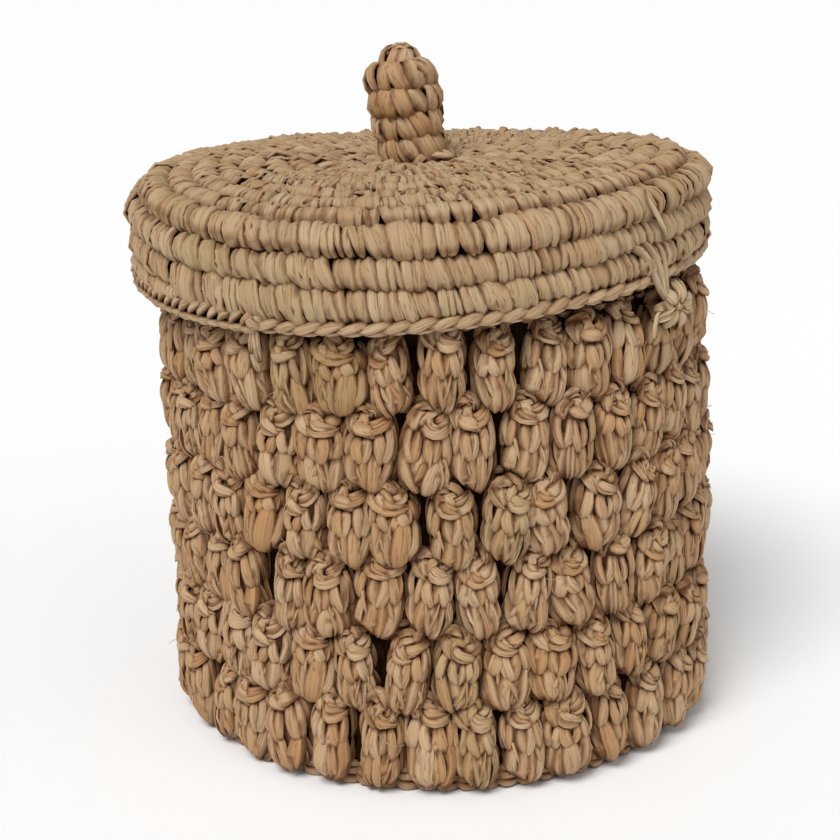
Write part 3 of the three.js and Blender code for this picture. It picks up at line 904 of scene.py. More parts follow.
def stitch_tree():
    """Geometry nodes that set a kind of stitch on each point, turned and sized as the point says."""
    name = "Set out stitches"
    if name in bpy.data.node_groups:
        return bpy.data.node_groups[name]
    tree = bpy.data.node_groups.new(name, "GeometryNodeTree")
    for socket, kind in (
        ("Geometry", "Geometry"),
        ("Kinds", "Collection"),
        ("Finish", "Material"),
        ("Seed", "Int"),
        ("Wobble", "Float"),
        ("Size spread", "Float"),
    ):
        tree.interface.new_socket(socket, in_out="INPUT", socket_type="NodeSocket" + kind)
    tree.interface.new_socket("Geometry", in_out="OUTPUT", socket_type="NodeSocketGeometry")
    graph = Graph(tree)
    given = tree.nodes.new("NodeGroupInput")

    def entry(socket):
        return Wire(graph, given.outputs[socket])

    def point_value(attribute, kind):
        node = "GeometryNodeInputNamedAttribute"
        return graph.add(node, {"data_type": kind}, {"Name": attribute}, "Attribute")

    def random_value(kind, low, high, step):
        values = {"Min": low, "Max": high, "Seed": entry("Seed") + step}
        return graph.add("FunctionNodeRandomValue", {"data_type": kind}, values, "Value")

    wobble = graph.scaled(random_value("FLOAT_VECTOR", (-1, -1, -1), (1, 1, 1), 1), entry("Wobble"))
    turn = graph.add("FunctionNodeEulerToRotation", None, {0: point_value("turn", "FLOAT_VECTOR")})
    nudge = graph.add("FunctionNodeEulerToRotation", None, {0: wobble})
    factor = random_value("FLOAT", -1.0, 1.0, 2) * entry("Size spread") + 1.0
    collection = {0: entry("Kinds"), "Separate Children": True, "Reset Children": True}
    placing = {
        "Points": entry("Geometry"),
        "Instance": graph.add("GeometryNodeCollectionInfo", None, collection),
        "Pick Instance": True,
        "Instance Index": point_value("kind", "INT"),
        "Rotation": graph.add("FunctionNodeRotateRotation", {"rotation_space": "LOCAL"}, {0: turn, 1: nudge}),
        "Scale": graph.scaled(point_value("size", "FLOAT_VECTOR"), factor),
    }
    placed = graph.add("GeometryNodeInstanceOnPoints", None, placing)
    tint = {"Geometry": placed, "Name": "tint", "Value": random_value("FLOAT", 0.0, 1.0, 3)}
    tinted = graph.add("GeometryNodeStoreNamedAttribute", {"data_type": "FLOAT", "domain": "INSTANCE"}, tint)
    solid = graph.add("GeometryNodeRealizeInstances", None, {"Geometry": tinted})
    finished = graph.add("GeometryNodeSetMaterial", None, {"Geometry": solid, "Material": entry("Finish")})
    # The plain forms get the painted hollow shade
    limits = {"A": point_value("tuck", "FLOAT"), "B": PLAIN}
    plain = graph.add("FunctionNodeCompare", {"operation": "GREATER_THAN"}, limits)
    hollows = {"Geometry": finished, "Selection": plain, "Material": painted_hollow_shade()}
    graph.add("NodeGroupOutput", None, {"Geometry": graph.add("GeometryNodeSetMaterial", None, hollows)})
    return tree


class Places:
    """Points on which the kinds of a stitch are set out."""

    def __init__(self, seed, kinds):
        self.random = np.random.default_rng(seed)
        self.kinds = kinds
        self.points = []
        self.turns = []
        self.sizes = []
        self.choices = []
        self.patches = []

    def add(self, point, turn, size, patch=0.0):
        self.points.append(tuple(point))
        self.turns.append(tuple(turn.to_euler("XYZ")))
        self.sizes.append(tuple(size))
        self.choices.append(int(self.random.integers(len(self.kinds.objects))))
        self.patches.append(patch)

    def ring(self, count, radius, height, size, tip=0.0):
        """Adds a ring of stitches round the basket."""
        for place in range(count):
            angle = place / count * TURN
            self.add(wall_point(angle, radius, height), wall_turn(angle, height, tip), size)

    def set_out(self, name, finish, seed, wobble, spread):
        """Sets the stitches out with geometry nodes, and returns them as one plain mesh object."""
        mesh = bpy.data.meshes.new(name + "_points")
        mesh.from_pydata(self.points, [], [])
        store(mesh, "turn", "FLOAT_VECTOR", self.turns)
        store(mesh, "size", "FLOAT_VECTOR", self.sizes)
        store(mesh, "kind", "INT", self.choices)
        store(mesh, "patch", "FLOAT", self.patches)
        source = bpy.data.objects.new(name + "_points", mesh)
        modifier = source.modifiers.new("Stitches", "NODES")
        modifier.node_group = stitch_tree()
        inputs = {"Kinds": self.kinds, "Finish": finish, "Seed": seed}
        inputs.update({"Wobble": wobble, "Size spread": spread})
        for socket in modifier.node_group.interface.items_tree:
            if socket.in_out == "INPUT" and socket.name in inputs:
                modifier[socket.identifier] = inputs[socket.name]
        bpy.context.scene.collection.objects.link(source)
        evaluated = source.evaluated_get(bpy.context.evaluated_depsgraph_get())
        made = bpy.data.objects.new(name, bpy.data.meshes.new_from_object(evaluated))
        bpy.data.meshes.remove(mesh)
        bpy.context.scene.collection.objects.link(made)
        return made


def join(name, parts):
    """Makes one object of several."""
    with bpy.context.temp_override(active_object=parts[0], object=parts[0], selected_editable_objects=parts):
        bpy.ops.object.join()
    parts[0].name = name
    parts[0].data.name = name
    return parts[0]


def finish_piece(piece, body, slot, nodes):
    """Lets a finished piece ride on its body and stand for its solids."""
    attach(piece, body)
    if nodes:
        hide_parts(*nodes)


# Finishes

def new_finish(name):
    """A material whose node tree is still empty."""
    material = bpy.data.materials.new(name)
    material.use_nodes = True
    material.node_tree.nodes.clear()
    return material, Graph(material.node_tree)


def raffia(name, colours):
    """Dry raffia: fine fibres along each strand, and each strand a tone of its own. Painted shade darkens it
    along creases, in crevices and on the dark cores.
    """
    if name in bpy.data.materials:
        return bpy.data.materials[name]
    material, graph = new_finish(name)

    def stored(attribute, output="Fac"):
        return graph.add("ShaderNodeAttribute", {"attribute_name": attribute}, output=output)

    strand = stored("strand", "Vector")
    tint = stored("tint")
    tuck = stored("tuck")
    own = graph.add("ShaderNodeSeparateXYZ", None, {0: strand}, "Z")
    place = graph.add("ShaderNodeTexCoord", output="Object")
    shift = graph.add("ShaderNodeCombineXYZ", None, {"Z": tint * 31.0})
    moved = graph.vector("ADD", strand, shift)
    fibres = graph.noise(graph.vector("MULTIPLY", moved, (2.4, 0.08, 47.0)), 1.0, 3.0)
    folds = graph.noise(graph.vector("MULTIPLY", moved, (0.62, 0.05, 23.0)), 1.0)
    blotches = graph.noise(place, 60.0, 3.0)
    shade = graph.spread(own * 0.6 + tint * 0.3 + folds * 0.4, 0.25, 1.0)
    ember = graph.spread(own * 0.7 + blotches * 0.6, 0.88, 1.1)
    lines = graph.spread(fibres, 0.32, 0.56)
    # Thin dark lines along the folds: painted crease shade
    away = folds - 0.5
    crease_shade = graph.spread(away * away, 0.0, 0.0006)
    colour = colours["pale"]
    for share, over in (
        (shade, "warm"),
        (ember * 0.32, "orange"),
        (stored("patch"), "green"),
        (0.28 - lines * 0.28, "line"),
        # Painted shade from here on: crease lines, a half shade and crevice shade by tuck, and near black on
        # the dark cores
        (0.42 - crease_shade * 0.42, "shade"),
        (graph.spread(tuck, 0.08, 0.5) * 0.3, "line"),
        (graph.spread(tuck, 0.2, 0.9) * 0.94, "shade"),
        (graph.spread(tuck, 1.0, HIDDEN), "deep"),
    ):
        colour = graph.mix(share, colour, colours[over])
    values = {"Base Color": colour, "Roughness": fibres * 0.3 + 0.45, "Specular IOR Level": 0.15}
    graph.surface((0.5, fibres * 0.35 + folds + crease_shade * 0.25), values)
    return material


def painted_hollow_shade():
    """The painted hollow shade of the plain forms that show as darkness between the strands, with faint streaks
    through it.
    """
    name = "hollow_shade"
    if name not in bpy.data.materials:
        _, graph = new_finish(name)
        place = graph.add("ShaderNodeTexCoord", output="Object")
        streaks = graph.noise(graph.vector("MULTIPLY", place, (700, 700, 130)), 1.0)
        dark, less_dark = (0.008, 0.004, 0.002, 1), (0.032, 0.014, 0.006, 1)
        colour = graph.mix(graph.spread(streaks, 0.45, 0.75), dark, less_dark)
        graph.surface((0.4, streaks), {"Base Color": colour, "Roughness": 1.0, "Specular IOR Level": 0.0})
    return bpy.data.materials[name]


def plain_floor():
    material = bpy.data.materials.new("pale_floor")
    material.use_nodes = True
    surface = material.node_tree.nodes["Principled BSDF"]
    surface.inputs["Base Color"].default_value = (0.95, 0.95, 0.95, 1)
    surface.inputs["Roughness"].default_value = 0.9
    surface.inputs["Specular IOR Level"].default_value = 0.1
    return material


def piece_finish(context, name, **swapped):
    """The raffia of a group of pieces, some of its colours swapped for others."""
    chosen = context.scene.raffia_colours
    entries = ("pale", "warm", "orange", "line", "shade", "green", "deep")
    return raffia(name, {entry: (*getattr(chosen, swapped.get(entry, entry)), 1) for entry in entries})


def wall_finish(context):
    return piece_finish(context, "basket_finish")


def lid_finish(context):
    return piece_finish(context, "lid_finish", pale="lid_pale", warm="lid_warm", deep="shade")


def tie_finish(context):
    return piece_finish(context, "tie_finish", pale="tie_pale", warm="lid_pale", deep="shade")


# What a user would change

def length_property(name, description, millimetres):
    size = millimetres * MM
    return FloatProperty(name=name, description=description, default=size, unit="LENGTH", precision=4)


def colour_property(name, description, *rgb):
    return FloatVectorProperty(name=name, description=description, default=rgb, subtype="COLOR", size=3)


class StrandSizes(bpy.types.PropertyGroup):
    """Sizes of the raffia strands and of the stitches made of them."""

    strand_width: length_property("Strand width", "Width of one flat strand", 3.5)
    strand_thickness: length_property("Strand thickness", "Height of a strand's fold", 1.05)
    popcorn_width: length_property("Popcorn width", "Width of one popcorn stitch", 17.6)
    wrap_pitch: length_property("Wrap pitch", "Length of cord that one lid stitch covers", 7.1)
    vee_height: length_property("Plain stitch height", "Height of a plain stitch", 7.0)
    link_length: length_property("Chain stitch length", "Length of a chain stitch", 7.0)
    fibre_count: IntProperty(
        name="Loose fibres", description="Fine fibres that stand off the stitches", default=90, min=0
    )


class RaffiaColours(bpy.types.PropertyGroup):
    """Colours of the dried raffia."""

    pale: colour_property("Pale", "Lightest strands", 0.54, 0.382, 0.23)
    warm: colour_property("Warm", "Common strands", 0.445, 0.26, 0.125)
    orange: colour_property("Orange", "Strands from the leaf's edge", 0.42, 0.19, 0.055)
    # Fibre lines, also used as painted half shade at the edges of crevices
    line: colour_property("Fibre line", "Dark lines between fibres", 0.22, 0.085, 0.026)
    # Painted shade in crevices, folds and under strands
    shade: colour_property("Crevice", "Strands where they tuck under others", 0.085, 0.026, 0.008)
    # Painted shade: near black, on the dark cores and shells seen between strands
    deep: colour_property("Inside", "What shows between the strands", 0.014, 0.008, 0.005)
    lid_pale: colour_property("Lid, pale", "Lightest strands of the lid", 0.505, 0.372, 0.226)
    lid_warm: colour_property("Lid, warm", "Common strands of the lid", 0.43, 0.288, 0.158)
    tie_pale: colour_property("Tie, pale", "Lightest strands of the tie", 0.62, 0.48, 0.29)
    green: colour_property("Greenish", "Strands picked young", 0.33, 0.27, 0.12)


# Operators, one for each group of pieces

INWARD = Matrix.Rotation(math.pi, 3, "Z")  # turns a stitch of the wall to face the inside


def set_popcorns(number, bulges, posts, sizes):
    """Lays out the popcorns of one round, and the plain stitches behind each."""
    low = WALL_FOOT + number * ROUND_HEIGHT - POPCORN_NEST + 0.6 * MM
    front = front_radius(low) - POPCORN_DEPTH
    uniform = bulges.random.uniform
    for place in range(POPCORNS):
        angle = round_phase(number) + place * LOBE
        drift = uniform(-0.07, 0.07) * LOBE
        point = wall_point(angle + drift, front, low + uniform(-1.1, 1.1) * MM)
        patch = max(0.0, uniform(-5, 0.35))
        size = [uniform(0.82, 1.08), uniform(0.88, 1.08), uniform(0.94, 1.03)]
        if number == 0:
            point.z = max(point.z - 2.6 * MM, LOWEST_POPCORN)
            size[2] *= 1.12
        bulges.add(point, wall_turn(angle + drift, low), size, patch)
        for beside in (-0.25, 0.25):
            for row in range(POST_ROWS):
                height = low + POPCORN_NEST + (0.2 + 0.3 * row) * ROUND_HEIGHT
                turn = wall_turn(angle + beside * LOBE, height) @ INWARD
                size = (1.15, 1, ROUND_HEIGHT / POST_ROWS / sizes.vee_height)
                posts.add(wall_point(angle + beside * LOBE, front - WALL * 0.45, height), turn, size)


class BASKET_OT_popcorn_wall(bpy.types.Operator):
    """Crochet the popcorn rounds and the plain wall behind them"""

    bl_idname = "basket.popcorn_wall"
    bl_label = "Popcorn wall"

    def execute(self, context):
        sizes = context.scene.raffia_sizes
        finish = wall_finish(context)
        beside = neighbours(sizes.popcorn_width, ROUND_HEIGHT, -0.6 * MM)

        def shaded_popcorn(number):
            return popcorn(100 + number, sizes).shade_crevices(beside, strength=0.76)

        popcorns = make_kinds("popcorn", POPCORN_KINDS, shaded_popcorn)
        vees = make_kinds("wall_vee", PLAIN_KINDS, lambda number: vee(200 + number, sizes))
        # The chain's links get painted shade, as they lie deep between the popcorns
        links = make_kinds("wall_link", PLAIN_KINDS, lambda number: link(300 + number, sizes).darker(0.45))
        for number in range(ROUNDS):
            bulges = Places(400 + number, popcorns)
            posts = Places(500 + number, vees)
            set_popcorns(number, bulges, posts, sizes)
            seam = WALL_FOOT + (number + 1) * ROUND_HEIGHT
            ring = front_radius(seam) - POPCORN_DEPTH - WALL / 3
            chain = Places(600 + number, links)
            chain.ring(fitting(ring, sizes.link_length), ring, seam, (1, 1.5, 1.3))
            foot = seam - ROUND_HEIGHT
            front = front_radius(foot) - POPCORN_DEPTH
            # A dark shell behind the popcorns, which shows between them as painted shade
            shell = Strands(700 + number)
            outline = oblong(front - 0.2 * MM, front - 1.4 * MM, foot, seam - 0.2 * MM)
            shell.rings(hoop(wall_point, outline), closed=True)
            parts = [
                bulges.set_out("bulges", finish, 10 + number, 0.13, 0.02),
                posts.set_out("posts", finish, 20 + number, 0.08, 0.04),
                chain.set_out("chain", finish, 30 + number, 0.05, 0.04),
                shell.object("shell", finish),
            ]
            piece = join(f"popcorn_raffia_{number + 1}", parts)
            finish_piece(piece, "basket", "wall_raffia", [f"popcorn_round_{number + 1}"])
        clear_kinds(popcorns, vees, links)
        return {"FINISHED"}


class BASKET_OT_base(bpy.types.Operator):
    """Crochet the flat bottom and the round that the wall starts from"""

    bl_idname = "basket.base"
    bl_label = "Bottom"

    def execute(self, context):
        sizes = context.scene.raffia_sizes
        finish = wall_finish(context)
        vees = make_kinds("base_vee", PLAIN_KINDS, lambda number: vee(800 + number, sizes))
        # The edge chain gets painted shade
        links = make_kinds("base_link", PLAIN_KINDS, lambda number: link(820 + number, sizes).darker(0.25))
        bottom = Places(810, vees)
        for number in range(int((BASE_RADIUS - 5 * MM) / BASE_PITCH)):
            radius = (number + 0.5) * BASE_PITCH + 1.5 * MM
            count = max(5, fitting(radius, BASE_SPACING))
            for place in range(count):
                angle = (place + 0.5 * (number % 2)) / count * TURN
                point = foot_point(angle, radius, BASE_THICKNESS / 2 + 0.3 * MM)
                for way in (-1, 1):
                    bottom.add(point, facing_frame((0, 0, way), polar(angle)), (1.1, 0.84, 1))
        edge = Places(830, links)
        for inset, height in ((3.4, BASE_THICKNESS / 2 + 0.9 * MM), (3.8, BASE_THICKNESS + 1.6 * MM)):
            radius = BASE_RADIUS - inset * MM
            edge.ring(fitting(radius, sizes.link_length), radius, height, (1, 1.3, 1.15))
        # A dark sheet under the bottom's stitches, in painted shade
        sheet = Strands(840)
        outline = oblong(1 * MM, BASE_RADIUS - 4.5 * MM, BASE_THICKNESS * 0.4, BASE_THICKNESS * 0.6)
        sheet.rings(hoop(foot_point, outline), closed=True)
        parts = [
            bottom.set_out("bottom", finish, 41, 0.08, 0.05),
            edge.set_out("edge", finish, 42, 0.05, 0.05),
            sheet.object("sheet", finish),
        ]
        finish_piece(join("bottom_raffia", parts), "basket", "wall_raffia", ["base_disc", "base_round"])
        clear_kinds(vees, links)
        return {"FINISHED"}


class BASKET_OT_neck(bpy.types.Operator):
    """Crochet the shoulder, the neck and its rim, which the lid covers"""

    bl_idname = "basket.neck"
    bl_label = "Neck"

    def execute(self, context):
        sizes = context.scene.raffia_sizes
        finish = wall_finish(context)
        vees = make_kinds("neck_vee", PLAIN_KINDS, lambda number: vee(900 + number, sizes))
        links = make_kinds("neck_link", PLAIN_KINDS, lambda number: link(920 + number, sizes))
        rows = Places(910, vees)
        row_height = NECK_HEIGHT / 2
        size = (1.2, 1.7, row_height / sizes.vee_height)
        for row in (-1, 0, 1):
            height = SHOULDER_TOP + SEAT_GAP + (row + 0.5) * row_height
            for place in range(NECK_STITCHES):
                angle = (place + 0.5 * row) / NECK_STITCHES * TURN
                turn = wall_turn(angle, height)
                if row >= 0:
                    rows.add(wall_point(angle, NECK_RADIUS, height), turn, size)
                rows.add(wall_point(angle, NECK_RADIUS - 0.4 * MM, height), turn @ INWARD, size)
        slope = math.atan2(7 * MM, SHOULDER_HEIGHT)
        height = (LEDGE_TOP + SHOULDER_TOP) / 2 - 1.2 * MM
        rows.ring(NECK_STITCHES + 6, NECK_RADIUS + 4.6 * MM, height, (1.15, 1.5, 1.45), slope)
        rim = Places(930, links)
        for offset, tip in ((1.1, 0.5), (-1.1, math.pi - 0.5)):
            radius = NECK_RADIUS + offset * MM
            count = fitting(radius, sizes.link_length)
            rim.ring(count, radius, NECK_TOP + RIM_DIAMETER / 2, (1, 1, 1.1), tip)
        # A dark shell under the neck's stitches, in painted shade
        shell = Strands(940)
        foot, top = WALL_TOP - 1 * MM, NECK_TOP + 2 * MM
        outline = ((6, foot), (0.6, SHOULDER_TOP), (0.6, top), (-0.6, top), (-0.6, foot))
        outline = [(NECK_RADIUS + offset * MM, height) for offset, height in outline]
        shell.rings(hoop(wall_point, outline), closed=True)
        parts = [
            rows.set_out("rows", finish, 51, 0.06, 0.04),
            rim.set_out("rim", finish, 52, 0.05, 0.04),
            shell.object("shell", finish),
        ]
        nodes = ["shoulder_round", "neck_band", "rim_round"]
        finish_piece(join("neck_raffia", parts), "basket", "wall_raffia", nodes)
        clear_kinds(vees, links)
        return {"FINISHED"}


def cord_places(places, turns, matrix, point_at, height_at):
    """Puts one wrap after another along the lid's cord, as tall as the height says there."""
    uniform = places.random.uniform
    for turn in turns:
        level = climbed(turn)
        angle = cord_angle(turn)
        inner = Vector(lid_profile(level - 0.5))
        outer = Vector(lid_profile(min(level + 0.5, CORD_TURNS)))
        down = (outer - inner).normalized()
        radial = Vector(polar(angle))
        up = -(radial * down.x + Vector(UP) * down.y)
        out = radial * -down.y + Vector(UP) * down.x
        from_front = (angle / DEGREE + 270) % 360 - 180
        from_young = from_front - YOUNG_AZIMUTH - (level - CROWN_TURNS - 0.8) * YOUNG_DRIFT
        if level > CROWN_TURNS and abs(from_young) < YOUNG_REACH:
            patch = uniform(0.1, 0.5)
        else:
            patch = max(0.0, uniform(-3, 0.3))
        turned = matrix.to_3x3() @ facing_frame(out, up)
        places.add(matrix @ point_at(turn), turned, (1, 1, height_at(turn)), patch)


def lining(low, high):
    """Rings of a thin skin through the middle of the lid's coils, which closes the grooves between them and
    shows in them as painted shade.
    """
    profile = np.array([lid_profile(level) for level in np.arange(low, high + 0.01, 0.25)])
    along = unit(np.gradient(profile, axis=0))
    aside = np.stack([along[:, 1], -along[:, 0]], axis=-1) * 0.5 * MM
    return hoop(lid_point, np.concatenate([profile + aside, (profile - aside)[::-1]]), 80)


def wedge(turn):
    """Height left open under the last climb of the lid's cord, one turn after it, as a share of the pitch."""
    return min(1.0, max(0.0, CORD_TURNS - climbed(turn)))


def tail_point(turn):
    """A point of the cord's tail, which fills that wedge."""
    radius, height = lid_profile(CORD_TURNS)
    return lid_point(cord_angle(turn), radius, height - (1 - wedge(turn - 1)) * SKIRT_PITCH / 2)


def stretched(turn):
    """How much taller the stitches of the last climb are, which reach down over the wedge below it."""
    last = CORD_TURNS - 0.5
    return wedge(turn) * SKIRT_PITCH if last - 0.01 < turn < last + 0.2 else 0.0


def dressed_point(turn):
    return lid_cord_point(turn) - Vector((0, 0, stretched(turn) / 2))


def felt(sizes, finish, matrix, end):
    """The short ends of raffia that lie over the crown's coils, from its middle to a turn."""
    strays = make_kinds("stray", STRAY_KINDS, lambda number: stray(1040 + number, sizes))
    places = Places(1050, strays)
    uniform = places.random.uniform
    for turn in uniform(0, end, CROWN_STRAYS) ** 0.75 * end**0.25:
        angle = cord_angle(turn)
        level = climbed(turn) + uniform(-0.5, 0.5)
        radius, height = lid_profile(max(level, 0))
        groove = math.sin(math.pi * (level - climbed(turn))) ** 2 * MM
        point = matrix @ lid_point(angle, radius, height + LID_CORD / 2 + 1.0 * MM - groove)
        swing = angle + uniform(-0.9, 0.9)
        turned = matrix.to_3x3() @ facing_frame(UP, polar(swing))
        places.add(point, turned, (1, 1, uniform(0.7, 1.2)), max(0.0, uniform(-3, 0.3)))
    made = places.set_out("felt", finish, 65, 0.15, 0.1)
    clear_kinds(strays)
    return made


class BASKET_OT_lid(bpy.types.Operator):
    """Crochet over the lid's cord, from the middle of the crown to the tail of the lowest side coil"""

    bl_idname = "basket.lid"
    bl_label = "Lid"

    def execute(self, context):
        sizes = context.scene.raffia_sizes
        finish = lid_finish(context)
        matrix = lid_matrix()
        pitch = sizes.wrap_pitch

        def lid_wrap(number):
            return wrap(1000 + number, sizes, *WRAP_PLIES[number % len(WRAP_PLIES)], pitch)

        wraps = make_kinds("wrap", WRAP_KINDS, lid_wrap)
        shoulder = jog_start(CROWN_TURNS)
        end = jog_start(CORD_TURNS)
        thick = LID_CORD / 2 - 0.6 * MM
        for number, (name, start, stop, nodes) in enumerate((
            ("crown_raffia", -0.95, shoulder, ["lid_crown_coil", "lid_eye"]),
            ("skirt_raffia", shoulder, end, ["lid_skirt_coil"]),
        )):
            places = Places(1010 + number, wraps)
            turns = even_turns(lid_cord_point, start, stop, pitch)
            cord_places(places, turns, matrix, dressed_point, lambda turn: 1 + stretched(turn) / LID_CORD)
            # The cord's core and the lining, dark forms of painted shade
            core = Strands(1020 + number)
            turns = np.linspace(start, stop, int((stop - start) * 48) + 1)
            route = [dressed_point(turn) for turn in turns]
            core.tube(route, [stretched(turn) / 2 + thick for turn in turns])
            if stop == end:
                turns = even_turns(tail_point, end, CORD_TURNS + 0.5, pitch)
                cord_places(places, turns, matrix, tail_point, lambda turn: wedge(turn - 1))
                turns = np.linspace(end, CORD_TURNS + 0.5, 16)
                core.tube([tail_point(turn) for turn in turns], [thick * wedge(turn - 1) for turn in turns])
            levels = (CROWN_TURNS + 0.5, CORD_TURNS - 1) if stop == end else (-1.45, CROWN_TURNS + 1)
            core.rings(lining(*levels), closed=True)
            core.moved(matrix)
            parts = [places.set_out(name, finish, 61 + number, 0.07, 0.06), core.object("core", finish)]
            if stop == shoulder:
                parts.append(felt(sizes, finish, matrix, shoulder - 1.6))
            finish_piece(join(name, parts), "lid", "lid_raffia", nodes)
        clear_kinds(wraps)
        return {"FINISHED"}


class BASKET_OT_edging(bpy.types.Operator):
    """Crochet the chain along the lid's lower edge, double before its knot and single after it"""

    bl_idname = "basket.edging"
    bl_label = "Lid edging"

    def execute(self, context):
        sizes = context.scene.raffia_sizes
        finish = lid_finish(context)
        matrix = lid_matrix()
        radius = SKIRT_RADIUS + EDGING_OUTSET
        middle = EDGING_CORD / 2
        knot = azimuth(KNOT_AZIMUTH)

        def place_link(places, angle, offset, rise, tip, size):
            turned = matrix.to_3x3() @ facing_frame(polar(angle, 1.0, tip), UP)
            places.add(matrix @ lid_point(angle, radius + offset * MM, middle + rise * MM), turned, size)

        leaves = make_kinds("edging_leaf", EDGING_KINDS, lambda number: leaf_link(1130 + number, sizes))
        single = Places(1111, leaves)
        for place in range(round(EDGING_STITCHES * EDGING_SINGLE)):
            angle = knot + (place + 0.5) / EDGING_STITCHES * TURN
            place_link(single, angle, -0.3, 0, -0.2, (1.15, 1.1, 1.0))
        links = make_kinds("edging_link", EDGING_KINDS, lambda number: lip_link(1100 + number, sizes))
        chain = Places(1110, links)
        left = 1 - EDGING_SINGLE
        count = round(EDGING_STITCHES * DOUBLE_CLOSENESS * left)
        for place in range(count):
            place_link(chain, knot - (place + 0.6) / count * left * TURN, 0.3, 0.3, 0.2, (0.82, 1.3, 1.05))
        # The edging's cord, a dark form of painted shade
        core = Strands(1120)
        angles = knot + np.linspace(0, TURN, 96, endpoint=False)
        core.tube([lid_point(angle, radius, middle) for angle in angles], middle - 0.7 * MM, 6, True)
        out = np.array(polar(knot))
        side = np.array(polar(knot + math.pi / 2))
        centre = np.array(lid_point(knot, radius + 1.9 * MM, middle + 1.2 * MM))
        for number in range(KNOT_PETALS):
            tilt = number * 52 * DEGREE + core.vary(0.2)
            reach = (side * math.cos(tilt) + np.array(UP) * math.sin(tilt)) * (3.1 + core.vary(0.5)) * MM
            back = centre - out * 1.8 * MM
            route = [back - reach, centre + out * (1.7 + 0.12 * number) * MM, back + reach]
            core.lay(route, out, 4.2 * MM, 1.3 * MM, ends=0.5, folds=number % 2)
        hang = centre - (0, 0, 2 * MM)
        for sway, length, width in ((0.5, 12, 3.4), (-1.6, 9.5, 2.2)):
            fall = np.array((0, 0, -length))
            half_way = (side * sway + fall / 2 + out * 0.8) * MM
            route = [hang, hang + half_way, hang + (side * sway * 1.6 + fall) * MM]
            core.lay(route, out, width * MM, 0.7 * MM, steps=8, ends=0.6)
        core.moved(matrix)
        parts = [
            chain.set_out("chain", finish, 71, 0.06, 0.06),
            single.set_out("single", finish, 72, 0.08, 0.06),
            core.object("core", finish),
        ]
        finish_piece(join("edging_raffia", parts), "lid", "lid_raffia", ["lid_edging", "edging_knot"])
        clear_kinds(links, leaves)
        return {"FINISHED"}


def knob_core(lead, top):
    """The knob's cord, and the stuffing inside it, both dark forms of painted shade."""
    core = Strands(1220)
    turns = np.linspace(-lead, KNOB_RINGS - 1 + lead, 97)
    core.tube([knob_ring_point(turn) for turn in turns], KNOB_CORD / 2 - 0.9 * MM)
    heights = (0.5 * MM, top * 0.3, top * 0.6, top - 2 * MM, top + CAP_HEIGHT * 0.3, top + CAP_HEIGHT * 0.66)
    outline = list(zip((8.5, 8.5, 7.4, 6.9, 5.9, 3.6), heights))
    angles = [side / 12 * TURN for side in range(12)]
    rings = [[polar(angle, radius * MM, height) for angle in angles] for radius, height in outline]
    core.rings(rings, dark=CORE)
    return core


def knob_dome(top):
    """The knob's leaves: those over its shoulders, those across its top, and the collar round its foot."""
    strands = Strands(1230)
    vary = strands.vary
    uniform = strands.random.uniform
    for number, angle in strands.around(SHOULDER_LEAVES, 0.15):
        swing = 0.3 + vary(0.5)
        tip = uniform(0.1, 0.45) * CAP_RADIUS / MM
        lift = vary(0.4) * MM
        route = []
        facing = []
        steps = ((8.7, -7.4, -0.4), (7.8, -3.4, -0.1), (6.9, 0.7, 0.25), (5.7, 4.6, 0.6), (tip, 6.6, 1.2))
        for radius, height, turn in steps:
            at = angle + swing * turn
            route.append(polar(at, radius * MM, top + height * MM + lift))
            facing.append(polar(at, 1.0, max(height, 0) * 0.22))
        strands.lay(route, facing, 4.2 * MM * (1 + vary(0.2)), 1.3 * MM, 8, 0.45, number % 2)
    for number, angle in strands.around(TOP_LEAVES, 0.3):
        near = uniform(0.1, 0.7) * CAP_RADIUS
        swing = uniform(0.5, 2.2)
        far = uniform(0.2, 0.75) * CAP_RADIUS
        route = []
        for radius, turn, lift in ((near, 0, -2.0), ((near + far) * 0.4, 0.5, -0.8), (far, 1, -2.0)):
            height = top + CAP_HEIGHT * (0.98 - 0.42 * (radius / CAP_RADIUS) ** 2) + lift * MM
            route.append(polar(angle + swing * turn, radius, height))
        strands.lay(route, UP, 2.8 * MM, 1.0 * MM, folds=number % 2)
    for number, angle in strands.around(COLLAR_LEAVES, 0.15):
        far = COLLAR_RADIUS * (1.78 + vary(0.2))
        swing = vary(0.9)
        steps = ((7.6 * MM, 0, 5.2), (far * 0.82, 0.5, 4.2 + vary(0.4)), (far, 1, 1.8))
        route = [polar(angle + swing * turn, radius, height * MM) for radius, turn, height in steps]
        strands.lay(route, polar(angle, 0.5, 1), 3.4 * MM, 1.2 * MM, ends=0.5, folds=number % 2)
    return strands


